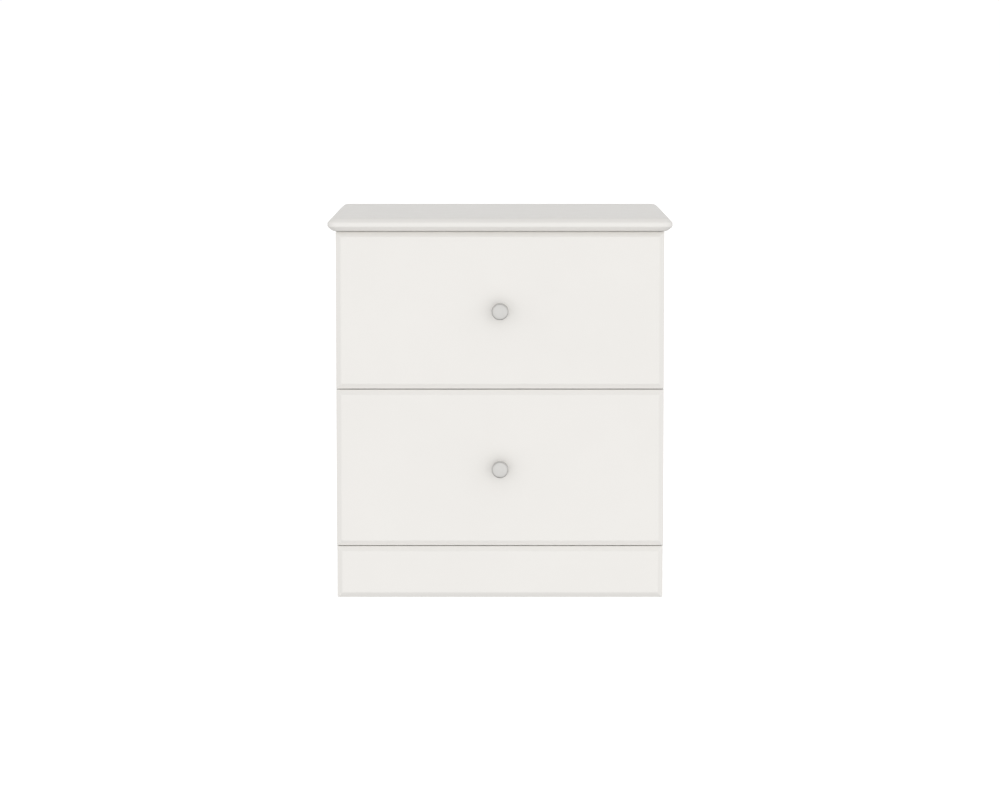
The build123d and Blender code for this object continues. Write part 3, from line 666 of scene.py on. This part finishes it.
# A knob's foot, its roundings, the steps of its domed face up to where the rim takes over, and its sides
KNOB_FOOT_BAND = 0.6 * MM
KNOB_FOOT_ROUND, KNOB_NECK_ROUND, KNOB_HEAD_ROUND = 0.35 * MM, 2.4 * MM, 1.6 * MM
KNOB_FACE_STEPS = 12
KNOB_RIM_STEP = 9
KNOB_SIDES = 96


class NIGHTSTAND_OT_knobs(PieceOperator, bpy.types.Operator):
    """Makes the two turned knobs"""

    bl_idname = "nightstand.knobs"
    bl_label = "Knobs"

    def execute(self, context):
        sizes = self.sizes
        for drawer in DRAWERS:
            node = f"{drawer}_drawer_knob"
            low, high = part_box(node)
            radius, projection = (high.x - low.x) / 2, high.y - low.y
            dome = (radius**2 + sizes.knob_dome**2) / (2 * sizes.knob_dome)
            crown = projection - dome
            edge = math.asin(radius / dome)
            turns = [edge * step / KNOB_FACE_STEPS for step in range(KNOB_FACE_STEPS + 1)]
            facing = [(dome * math.sin(turn), crown + dome * math.cos(turn)) for turn in turns]
            corners = [
                (sizes.knob_foot - KNOB_FOOT_BAND, 0),
                (sizes.knob_foot, 0),
                (sizes.knob_neck, sizes.knob_neck_length),
                (radius, sizes.knob_neck_length + sizes.knob_flare),
                (radius, projection - sizes.knob_dome),
                facing[KNOB_RIM_STEP],
            ]
            radii = [KNOB_FOOT_ROUND, KNOB_NECK_ROUND, KNOB_HEAD_ROUND, sizes.knob_rim]
            outline = [(0, 0), *map(tuple, rounded_path(corners, radii, steps=10, support=0.05 * MM))]
            outline += reversed(facing[:KNOB_RIM_STEP])
            base = Vector(((low.x + high.x) / 2, high.y, (low.z + high.z) / 2))
            bm = turned_shape(outline, base, -Y_AXIS, KNOB_SIDES)
            dress(make_piece(f"{drawer}_knob", bm, satin_nickel), node)
        return {"FINISHED"}


def board_sides(bm, faced):
    """Gives the second finish to the faces that the faced test refuses."""
    for face in bm.faces:
        face.material_index = 0 if faced(face.normal) else 1


CARCASS_BOARDS = (
    "left_side_panel", "right_side_panel", "bottom_panel", "front_top_rail", "rear_top_rail", "plinth_back",
)


class NIGHTSTAND_OT_carcass(PieceOperator, bpy.types.Operator):
    """Makes the carcass boards: faced, banded at the front, raw on their other edges"""

    bl_idname = "nightstand.carcass"
    bl_label = "Carcass boards"

    def execute(self, context):
        for node in CARCASS_BOARDS:
            low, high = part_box(node)
            extents = high - low
            thin = min(range(3), key=lambda axis: extents[axis])
            bm = eased_copy(node, self.sizes.board_ease)
            board_sides(bm, lambda normal: abs(normal[thin]) > FACING or normal.y < -FACING)
            dress(make_piece(f"{node}_board", bm, white_board, raw_chipboard), node)
        return {"FINISHED"}


class NIGHTSTAND_OT_boxes(PieceOperator, bpy.types.Operator):
    """Makes the boards of the two drawer boxes: wrapped, raw along the bottom and at their ends"""

    bl_idname = "nightstand.boxes"
    bl_label = "Drawer boxes"

    def execute(self, context):
        for drawer in DRAWERS:
            for board in ("inner_front", "left_side", "right_side", "back"):
                node = f"{drawer}_drawer_{board}"
                thin = 0 if board.endswith("side") else 1
                bm = eased_copy(node, self.sizes.board_ease)
                board_sides(bm, lambda normal: abs(normal[thin]) > FACING or normal.z > FACING)
                dress(make_piece(f"{node}_board", bm, drawer_board, raw_chipboard), node)
        return {"FINISHED"}


class NIGHTSTAND_OT_thin_panels(PieceOperator, bpy.types.Operator):
    """Makes the back panel and the drawer bottoms: painted inside, brown outside"""

    bl_idname = "nightstand.thin_panels"
    bl_label = "Thin panels"

    def execute(self, context):
        insides = {"back_panel": -Y_AXIS, **{f"{drawer}_drawer_bottom": Z_AXIS for drawer in DRAWERS}}
        for node, inside in insides.items():
            bm = eased_copy(node, self.sizes.panel_ease)
            board_sides(bm, lambda normal: normal.dot(inside) > FACING)
            dress(make_piece(f"{node}_sheet", bm, white_hardboard, brown_hardboard), node)
        return {"FINISHED"}


# Fasteners: turned shapes that repeat
STATIONS = (
    "Crown Radius", "Crown Height", "Brow Radius", "Brow Height", "Head Radius", "Head Height",
    "Under Radius", "Under Height", "Shank Radius", "Shank Length", "Point Radius", "Point Length",
)
RECESS = ("Recess Reach", "Recess Width", "Recess Depth")
# How many sides each kind has
SCREW_SIDES, PAN_SIDES, RIVET_SIDES, CAM_SIDES, BUFFER_SIDES = 28, 32, 36, 40, 36
# Points this near to an end of a fastener belong to it, and ends whose radii differ by less are alike
END_BAND = 0.3 * MM
LIKE_ENDS = 0.05 * MM
# Height over which a fastener steps from one radius to the next
STEP = 0.02 * MM
# Wood screws: radius of shank and tip, length of the point, and reach, width and depth of the cross
SCREW_SHANK = 1.75 * MM
SCREW_TIP = 0.3 * MM
SCREW_POINT = 3 * MM
SCREW_CROSS = (4.4 * MM, 0.9 * MM, 1.5 * MM)
# Round-headed screws: height of the head and radius of the shank, and width of the cross
PANEL_SCREW = (1.8 * MM, SCREW_SHANK)
KNOB_SCREW = (2.4 * MM, 2.0 * MM)
PAN_CROSS_WIDTH = 1.0 * MM
# Cam locks: reach, width and depth of the cross
CAM_CROSS = (8.0 * MM, 1.6 * MM, 3.0 * MM)
# Rivets: thickness of the head and radius of the shank
RIVET_HEAD = 0.9 * MM
RIVET_SHANK = 2.5 * MM
# Rollers: radius of bore and hub, thickness of the rim, depth of the dish as a share of the width, and sides
ROLLER_BORE = 2.6 * MM
ROLLER_HUB = 4.3 * MM
ROLLER_RIM = 2.0 * MM
ROLLER_DISH = 0.22
ROLLER_SIDES = 64


def fastener_tree():
    """Geometry nodes that turn one fastener from its sizes and set it at each place, aimed by the place.
    Heights count from the board's face, inwards; a cross recess is cut into the crown."""
    tree = bpy.data.node_groups.new("turned_fastener", "GeometryNodeTree")

    def socket(name, kind, in_out="INPUT"):
        return tree.interface.new_socket(name, in_out=in_out, socket_type=f"NodeSocket{kind}")

    socket("Places", "Geometry")
    for label in STATIONS + RECESS:
        socket(label, "Float").subtype = "DISTANCE"
    socket("Recessed", "Bool")
    socket("Sides", "Int")
    socket("Seed", "Int")
    socket("Finish", "Material")
    socket("Fasteners", "Geometry", "OUTPUT")
    given = tree.nodes.new("NodeGroupInput").outputs

    def by_station(labels):
        choice = add(tree, "GeometryNodeIndexSwitch", data_type="FLOAT")
        while len(choice.index_switch_items) < len(labels):
            choice.index_switch_items.new()
        tree.links.new(made(tree, "GeometryNodeInputIndex", "Index"), choice.inputs[0])
        for item, label in enumerate(labels):
            tree.links.new(given[label], choice.inputs[item + 1])
        return choice.outputs[0]

    # The stations stand along an axis, and a circle is swept along it with the radius of each
    radius, height = by_station(STATIONS[0::2]), by_station(STATIONS[1::2])
    line = made(tree, "GeometryNodeMeshLine", "Mesh", {"Count": len(STATIONS) // 2})
    curve = made(tree, "GeometryNodeMeshToCurve", "Curve", {"Mesh": line})
    spot = made(tree, "ShaderNodeCombineXYZ", "Vector", {"Z": height})
    axis = made(tree, "GeometryNodeSetPosition", "Geometry", {"Geometry": curve, "Position": spot})
    ring = {"Resolution": given["Sides"], "Radius": 1.0}
    circle = made(tree, "GeometryNodeCurvePrimitiveCircle", "Curve", ring)
    sweep = {"Curve": axis, "Profile Curve": circle, "Scale": radius, "Fill Caps": True}
    turned = made(tree, "GeometryNodeCurveToMesh", "Mesh", sweep)

    # Two crossed bars, half sunk into the crown, cut the recess
    depth = made(tree, "ShaderNodeMath", "Value", {0: given["Recess Depth"], 1: 2.0}, operation="MULTIPLY")
    mouth = made(tree, "ShaderNodeCombineXYZ", "Vector", {"Z": given["Crown Height"]})
    arms = add(tree, "GeometryNodeJoinGeometry")
    for first, second in (("X", "Y"), ("Y", "X")):
        extents = {first: given["Recess Reach"], second: given["Recess Width"], "Z": depth}
        arm = made(tree, "ShaderNodeCombineXYZ", "Vector", extents)
        bar = made(tree, "GeometryNodeMeshCube", "Mesh", {"Size": arm})
        sunk = made(tree, "GeometryNodeTransform", "Geometry", {"Geometry": bar, "Translation": mouth})
        tree.links.new(sunk, arms.inputs["Geometry"])
    bodies = {"Mesh 1": turned, "Mesh 2": arms.outputs["Geometry"], "Self Intersection": True}
    cut = made(tree, "GeometryNodeMeshBoolean", "Mesh", bodies, operation="DIFFERENCE", solver="EXACT")
    either = {"Switch": given["Recessed"], "False": turned, "True": cut}
    shape = made(tree, "GeometryNodeSwitch", "Output", either, input_type="GEOMETRY")

    # One at each place, turned by chance round its own axis
    named = {"Name": "aim"}
    aim = made(tree, "GeometryNodeInputNamedAttribute", "Attribute", named, data_type="FLOAT_VECTOR")
    facing = made(tree, "FunctionNodeAlignRotationToVector", "Rotation", {"Vector": aim}, axis="Z")
    seats = {"Points": given["Places"], "Instance": shape, "Rotation": facing}
    placed = made(tree, "GeometryNodeInstanceOnPoints", "Instances", seats)
    quarter = {"Min": 0.0, "Max": math.pi / 2, "Seed": given["Seed"]}
    chance = add(tree, "FunctionNodeRandomValue", quarter, data_type="FLOAT")
    turn = [output for output in chance.outputs if output.enabled][0]
    spin = made(tree, "ShaderNodeCombineXYZ", "Vector", {"Z": turn})
    spun = made(tree, "GeometryNodeRotateInstances", "Instances", {"Instances": placed, "Rotation": spin})
    real = made(tree, "GeometryNodeRealizeInstances", "Geometry", {"Geometry": spun})
    coated = {"Geometry": real, "Material": given["Finish"]}
    painted = made(tree, "GeometryNodeSetMaterial", "Geometry", coated)
    tree.links.new(painted, tree.nodes.new("NodeGroupOutput").inputs["Fasteners"])
    return tree


class Place(NamedTuple):
    """Where a fastener sits: the middle of its wide end, its aim, its depth and its wide radius"""

    mouth: Vector
    aim: Vector
    depth: float
    radius: float


def solids(node):
    """The points of each separate solid in a node."""
    bm = merged_copy(node)
    left = set(bm.verts)
    found = []
    while left:
        group, edge = [], [left.pop()]
        while edge:
            vert = edge.pop()
            group.append(vert.co.copy())
            for link in vert.link_edges:
                other = link.other_vert(vert)
                if other in left:
                    left.remove(other)
                    edge.append(other)
        found.append(group)
    bm.free()
    return found


def turned_places(node):
    """The place of each round solid of a node, sorted so that every run gives a fastener the same turn."""
    places = []
    for points in solids(node):
        low = Vector([min(point[axis] for point in points) for axis in range(3)])
        high = Vector([max(point[axis] for point in points) for axis in range(3)])
        extents, middle = high - low, (low + high) / 2
        along = min(range(3), key=lambda axis: abs(extents[axis - 1] - extents[axis - 2]))
        aim = Vector([float(axis == along) for axis in range(3)])

        def reach(end):
            spokes = [point - middle for point in points if abs(point[along] - end) < END_BAND]
            return max((spoke - aim * spoke.dot(aim)).length for spoke in spokes)

        wide_low, wide_high = reach(low[along]), reach(high[along])
        mouth = middle.copy()
        mouth[along] = low[along]
        if wide_low < wide_high - LIKE_ENDS:
            mouth[along] = high[along]
            aim = -aim
        places.append(Place(mouth, aim, extents[along], max(wide_low, wide_high)))
    return sorted(places, key=lambda place: [round(value / MM) for value in place.mouth])


def set_fasteners(name, places, stations, builder, sides, recess=None, seed=1):
    """A mesh of fasteners at the places, from the radius and height at each station."""
    points = bpy.data.meshes.new(name)
    points.from_pydata([place.mouth for place in places], [], [])
    aims = points.attributes.new("aim", "FLOAT_VECTOR", "POINT")
    for item, place in zip(aims.data, places):
        item.vector = place.aim
    piece = bpy.data.objects.new(name, points)
    bpy.context.scene.collection.objects.link(piece)
    modifier = piece.modifiers.new("fasteners", "NODES")
    tree = bpy.data.node_groups.get("turned_fastener") or fastener_tree()
    values = dict(zip(STATIONS, [value for station in stations for value in station]))
    values.update(zip(RECESS, recess or (0.0, 0.0, 0.0)))
    values.update({"Recessed": recess is not None, "Sides": sides, "Seed": seed, "Finish": finish(builder)})
    modifier.node_group = tree
    for item in tree.interface.items_tree:
        if item.in_out == "INPUT" and item.name in values:
            modifier[item.identifier] = values[item.name]
    graph = bpy.context.evaluated_depsgraph_get()
    mesh = bpy.data.meshes.new_from_object(piece.evaluated_get(graph))
    bpy.data.objects.remove(piece)
    bpy.data.meshes.remove(points)
    if not mesh.polygons:
        raise RuntimeError(f"no fasteners were made for {name}")
    return mesh


def fastener_piece(name, meshes, builder):
    """One piece from the meshes of one or more sizes of fastener."""
    bm = bmesh.new()
    for mesh in meshes:
        bm.from_mesh(mesh)
    bmesh.ops.remove_doubles(bm, verts=bm.verts[:], dist=FINE_WELD)
    bmesh.ops.recalc_face_normals(bm, faces=bm.faces[:])
    for face in bm.faces:
        face.smooth = len(face.verts) == 4
        face.material_index = 0
    for mesh in meshes:
        bpy.data.meshes.remove(mesh)
    return make_piece(name, bm, builder)


def countersunk(head, depth):
    """Radius and height at each station of a screw whose head is flush with the mouth."""
    return [
        (head - 0.25 * MM, STEP),
        (head - 0.08 * MM, 0.06 * MM),
        (head, 0.2 * MM),
        (SCREW_SHANK, head - SCREW_SHANK),
        (SCREW_SHANK, depth - SCREW_POINT),
        (SCREW_TIP, depth),
    ]


def pan_headed(head, height, shank, depth):
    """Radius and height at each station of a screw whose round head stands on the mouth."""
    return [
        (head * 0.62, -height),
        (head * 0.88, -height * 0.78),
        (head, -height * 0.4),
        (head, 0.0),
        (shank, STEP),
        (shank, depth),
    ]


class NIGHTSTAND_OT_screws(PieceOperator, bpy.types.Operator):
    """Makes the countersunk screws of the runners, drawer fronts, top and corner blocks"""

    bl_idname = "nightstand.screws"
    bl_label = "Countersunk screws"

    def execute(self, context):
        nodes = ["cabinet_runner_screws", "carcass_screws"]
        nodes += [f"{drawer}_drawer_{kind}_screws" for drawer in DRAWERS for kind in ("front", "runner")]
        for seed, node in enumerate(nodes):
            by_depth = {}
            for place in turned_places(node):
                by_depth.setdefault(round(place.depth / MM, 1), []).append(place)
            meshes = []
            for size, places in sorted(by_depth.items()):
                stations = countersunk(places[0].radius, size * MM)
                name = f"{node}_{size}"
                mesh = set_fasteners(name, places, stations, zinc_steel, SCREW_SIDES, SCREW_CROSS, seed)
                meshes.append(mesh)
            dress(fastener_piece(f"{node}_set", meshes, zinc_steel), node)
        return {"FINISHED"}


class NIGHTSTAND_OT_pan_screws(PieceOperator, bpy.types.Operator):
    """Makes the round-headed screws of the back panel and the knobs"""

    bl_idname = "nightstand.pan_screws"
    bl_label = "Round-headed screws"

    def execute(self, context):
        heads = {"back_panel_screws": PANEL_SCREW}
        heads.update({f"{drawer}_drawer_knob_screw": KNOB_SCREW for drawer in DRAWERS})
        for seed, (node, (height, shank)) in enumerate(heads.items()):
            found = turned_places(node)
            places = [place._replace(mouth=place.mouth + place.aim * height) for place in found]
            head = places[0].radius
            stations = pan_headed(head, height, shank, places[0].depth - height)
            recess = (head * 1.2, PAN_CROSS_WIDTH, height * 0.7)
            mesh = set_fasteners(f"{node}_points", places, stations, zinc_steel, PAN_SIDES, recess, seed)
            dress(fastener_piece(f"{node}_set", [mesh], zinc_steel), node)
        return {"FINISHED"}


class NIGHTSTAND_OT_rivets(PieceOperator, bpy.types.Operator):
    """Makes the rivets that the rollers turn on"""

    bl_idname = "nightstand.rivets"
    bl_label = "Roller rivets"

    def execute(self, context):
        for node in ["cabinet_roller_rivets", *[f"{drawer}_drawer_roller_rivets" for drawer in DRAWERS]]:
            places = turned_places(node)
            head = places[0].radius
            stations = [
                (head * 0.55, 0.0),
                (head * 0.85, 0.18 * MM),
                (head, 0.5 * MM),
                (head, RIVET_HEAD),
                (RIVET_SHANK, RIVET_HEAD + STEP),
                (RIVET_SHANK, places[0].depth),
            ]
            mesh = set_fasteners(f"{node}_points", places, stations, zinc_steel, RIVET_SIDES)
            dress(fastener_piece(f"{node}_set", [mesh], zinc_steel), node)
        return {"FINISHED"}


class NIGHTSTAND_OT_cams(PieceOperator, bpy.types.Operator):
    """Makes the cam locks, with the cross that turns them"""

    bl_idname = "nightstand.cams"
    bl_label = "Cam locks"

    def execute(self, context):
        places = turned_places("cam_locks")
        depth, wide = places[0].depth, places[0].radius
        stations = [
            (wide - 0.5 * MM, 0.0),
            (wide - 0.15 * MM, 0.15 * MM),
            (wide, 0.5 * MM),
            (wide, depth * 0.5),
            (wide, depth * 0.8),
            (wide, depth),
        ]
        mesh = set_fasteners("cam_points", places, stations, zinc_casting, CAM_SIDES, CAM_CROSS, seed=5)
        dress(fastener_piece("cam_locks_set", [mesh], zinc_casting), "cam_locks")
        return {"FINISHED"}


class NIGHTSTAND_OT_buffers(PieceOperator, bpy.types.Operator):
    """Makes the soft buffers that the closed drawer fronts meet"""

    bl_idname = "nightstand.buffers"
    bl_label = "Drawer buffers"

    def execute(self, context):
        found = turned_places("drawer_buffers")
        front = min(place.mouth.y for place in found)
        places = [
            place._replace(mouth=Vector((place.mouth.x, front, place.mouth.z)), aim=Y_AXIS) for place in found
        ]
        depth, wide = places[0].depth, places[0].radius
        stations = [
            (wide * 0.55, 0.0),
            (wide * 0.8, depth * 0.14),
            (wide * 0.94, depth * 0.42),
            (wide, depth * 0.75),
            (wide, depth * 0.9),
            (wide, depth),
        ]
        mesh = set_fasteners("buffer_points", places, stations, soft_buffer, BUFFER_SIDES)
        dress(fastener_piece("drawer_buffers_set", [mesh], soft_buffer), "drawer_buffers")
        return {"FINISHED"}


class NIGHTSTAND_OT_rollers(PieceOperator, bpy.types.Operator):
    """Makes the nylon rollers: a rim, a thinner web and a hub"""

    bl_idname = "nightstand.rollers"
    bl_label = "Rollers"

    def execute(self, context):
        for node in [f"{d}_{s}_{end}_roller" for d in DRAWERS for s in SIDES for end in ("front", "rear")]:
            low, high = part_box(node)
            radius, width = (high.z - low.z) / 2, high.x - low.x
            inner, dish = radius - ROLLER_RIM, width * ROLLER_DISH
            side = [
                (ROLLER_BORE, 0.0),
                (ROLLER_HUB, 0.0),
                (ROLLER_HUB + 0.3 * MM, 0.3 * MM),
                (ROLLER_HUB + 0.5 * MM, dish),
                (inner - 0.6 * MM, dish),
                (inner - 0.3 * MM, 0.3 * MM),
                (inner, 0.0),
                (radius - 0.8 * MM, 0.0),
                (radius - 0.2 * MM, 0.25 * MM),
                (radius, 0.8 * MM),
            ]
            outline = side + [(spoke, width - along) for spoke, along in reversed(side)] + [side[0]]
            base = Vector((low.x, (low.y + high.y) / 2, (low.z + high.z) / 2))
            bm = turned_shape(outline, base, X_AXIS, ROLLER_SIDES)
            bmesh.ops.remove_doubles(bm, verts=bm.verts[:], dist=WELD)
            dress(make_piece(f"{node}_wheel", bm, nylon), node)
        return {"FINISHED"}


class NIGHTSTAND_OT_fittings(PieceOperator, bpy.types.Operator):
    """Finishes the fittings that keep the shape they were built with: runners, dowels, bolts and blocks"""

    bl_idname = "nightstand.fittings"
    bl_label = "Runners and hidden fittings"

    def execute(self, context):
        coats = {"cam_bolts": zinc_steel, "carcass_dowels": beech, "plinth_corner_blocks": block_plastic}
        for drawer in DRAWERS:
            coats[f"{drawer}_drawer_box_dowels"] = beech
            for side in SIDES:
                for kind in ("cabinet", "drawer"):
                    coats[f"{drawer}_{side}_{kind}_runner"] = coated_steel
        for node, builder in coats.items():
            coat(node, builder)
        return {"FINISHED"}


# Half the width of the studio floor in metres, and the width of the camera's sensor in millimetres
FLOOR_HALF = 40.0
SENSOR_WIDTH = 36.0


class NIGHTSTAND_OT_stage(PieceOperator, bpy.types.Operator):
    """Lays the pale floor and sets the soft studio light and the camera"""

    bl_idname = "nightstand.stage"
    bl_label = "Floor, light and camera"

    def execute(self, context):
        stage = context.scene.nightstand_stage
        self.lay_floor(context, stage)
        self.light_studio(context, stage)
        self.set_camera(context, stage)
        return {"FINISHED"}

    def lay_floor(self, context, stage):
        bm = bmesh.new()
        bmesh.ops.create_grid(bm, x_segments=1, y_segments=1, size=FLOOR_HALF)
        floor = make_piece("floor", bm)
        material, tree, shader, place = begin("pale_floor", Emission_Strength=stage.floor_glow)
        shader.inputs["Emission Color"].default_value = WHITE
        grain = noise(tree, place, scale=3.0)
        tone = shaded(tree, grain, context.scene.nightstand_colours.floor, (0.3, 0.995), (0.7, 1.005))
        tree.links.new(tone, shader.inputs["Base Color"])
        tree.links.new(spread(tree, grain, 0.85, 0.95), shader.inputs["Roughness"])
        floor.data.materials.append(material)
        floor.visible_diffuse = False
        floor.visible_glossy = False

    def light_studio(self, context, stage):
        world = bpy.data.worlds.new("studio")
        world.use_nodes = True
        context.scene.world = world
        tree = world.node_tree
        tree.nodes.clear()
        direction = made(tree, "ShaderNodeTexCoord", "Generated")
        up = made(tree, "ShaderNodeSeparateXYZ", "Z", {"Vector": direction})
        height = spread(tree, up, 0.0, 1.0, start=-1.0, end=1.0)
        levels = [(0.0, stage.sky_below), (0.5, stage.sky_around), (1.0, stage.sky_above)]
        base = ramp(tree, height, [(position, (level,) * 3) for position, level in levels])
        middle = Vector((stage.front_side, -1.0, -stage.front_drop)).normalized()
        pair = {0: direction, 1: middle}
        towards = made(tree, "ShaderNodeVectorMath", "Value", pair, operation="DOT_PRODUCT")
        ahead = made(tree, "ShaderNodeMath", "Value", {0: towards, 1: 0.0}, operation="MAXIMUM")
        lobe = made(tree, "ShaderNodeMath", "Value", {0: ahead, 1: stage.front_focus}, operation="POWER")
        strength = mixed(tree, base, lobe, stage.front_glow)
        around = made(tree, "ShaderNodeBackground", "Background", {"Color": WHITE, "Strength": strength})
        backdrop = {"Color": WHITE, "Strength": stage.backdrop}
        seen = made(tree, "ShaderNodeBackground", "Background", backdrop)
        direct = made(tree, "ShaderNodeLightPath", "Is Camera Ray")
        both = made(tree, "ShaderNodeMixShader", "Shader", {0: direct, 1: around, 2: seen})
        add(tree, "ShaderNodeOutputWorld", {"Surface": both})

    def set_camera(self, context, stage):
        lens = bpy.data.cameras.new("camera")
        lens.lens, lens.sensor_width = stage.camera_lens, SENSOR_WIDTH
        camera = bpy.data.objects.new("camera", lens)
        camera.location = (0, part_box("top_panel")[0].y - stage.camera_distance, stage.camera_height)
        camera.rotation_euler = (math.pi / 2 - stage.camera_pitch, 0, 0)
        context.scene.collection.objects.link(camera)
        context.scene.camera = camera
        context.scene.view_settings.view_transform = "Standard"


OPERATORS = (
    NIGHTSTAND_OT_stage,
    NIGHTSTAND_OT_top,
    NIGHTSTAND_OT_drawer_fronts,
    NIGHTSTAND_OT_plinth,
    NIGHTSTAND_OT_knobs,
    NIGHTSTAND_OT_carcass,
    NIGHTSTAND_OT_boxes,
    NIGHTSTAND_OT_thin_panels,
    NIGHTSTAND_OT_screws,
    NIGHTSTAND_OT_pan_screws,
    NIGHTSTAND_OT_rivets,
    NIGHTSTAND_OT_cams,
    NIGHTSTAND_OT_buffers,
    NIGHTSTAND_OT_rollers,
    NIGHTSTAND_OT_fittings,
)
GROUPS = {
    "nightstand_sizes": NightstandSizes,
    "nightstand_colours": NightstandColours,
    "nightstand_stage": NightstandStage,
}


class NIGHTSTAND_PT_panel(bpy.types.Panel):
    """Lists the pieces of the nightstand"""

    bl_idname = "NIGHTSTAND_PT_panel"
    bl_label = "Nightstand"
    bl_space_type = "VIEW_3D"
    bl_region_type = "UI"
    bl_category = "Nightstand"

    def draw(self, context):
        for operator in OPERATORS:
            self.layout.operator(operator.bl_idname)
        for name in GROUPS:
            group = getattr(context.scene, name)
            box = self.layout.box()
            for size in group.__annotations__:
                box.prop(group, size)


def register():
    for name, group in GROUPS.items():
        bpy.utils.register_class(group)
        setattr(bpy.types.Scene, name, bpy.props.PointerProperty(type=group))
    for cls in (*OPERATORS, NIGHTSTAND_PT_panel):
        bpy.utils.register_class(cls)


def unregister():
    for cls in reversed((*OPERATORS, NIGHTSTAND_PT_panel)):
        bpy.utils.unregister_class(cls)
    for name, group in GROUPS.items():
        delattr(bpy.types.Scene, name)
        bpy.utils.unregister_class(group)


def main():
    register()
    for operator in OPERATORS:
        family, action = operator.bl_idname.split(".")
        getattr(getattr(bpy.ops, family), action)()


if __name__ == "__main__":
    main()
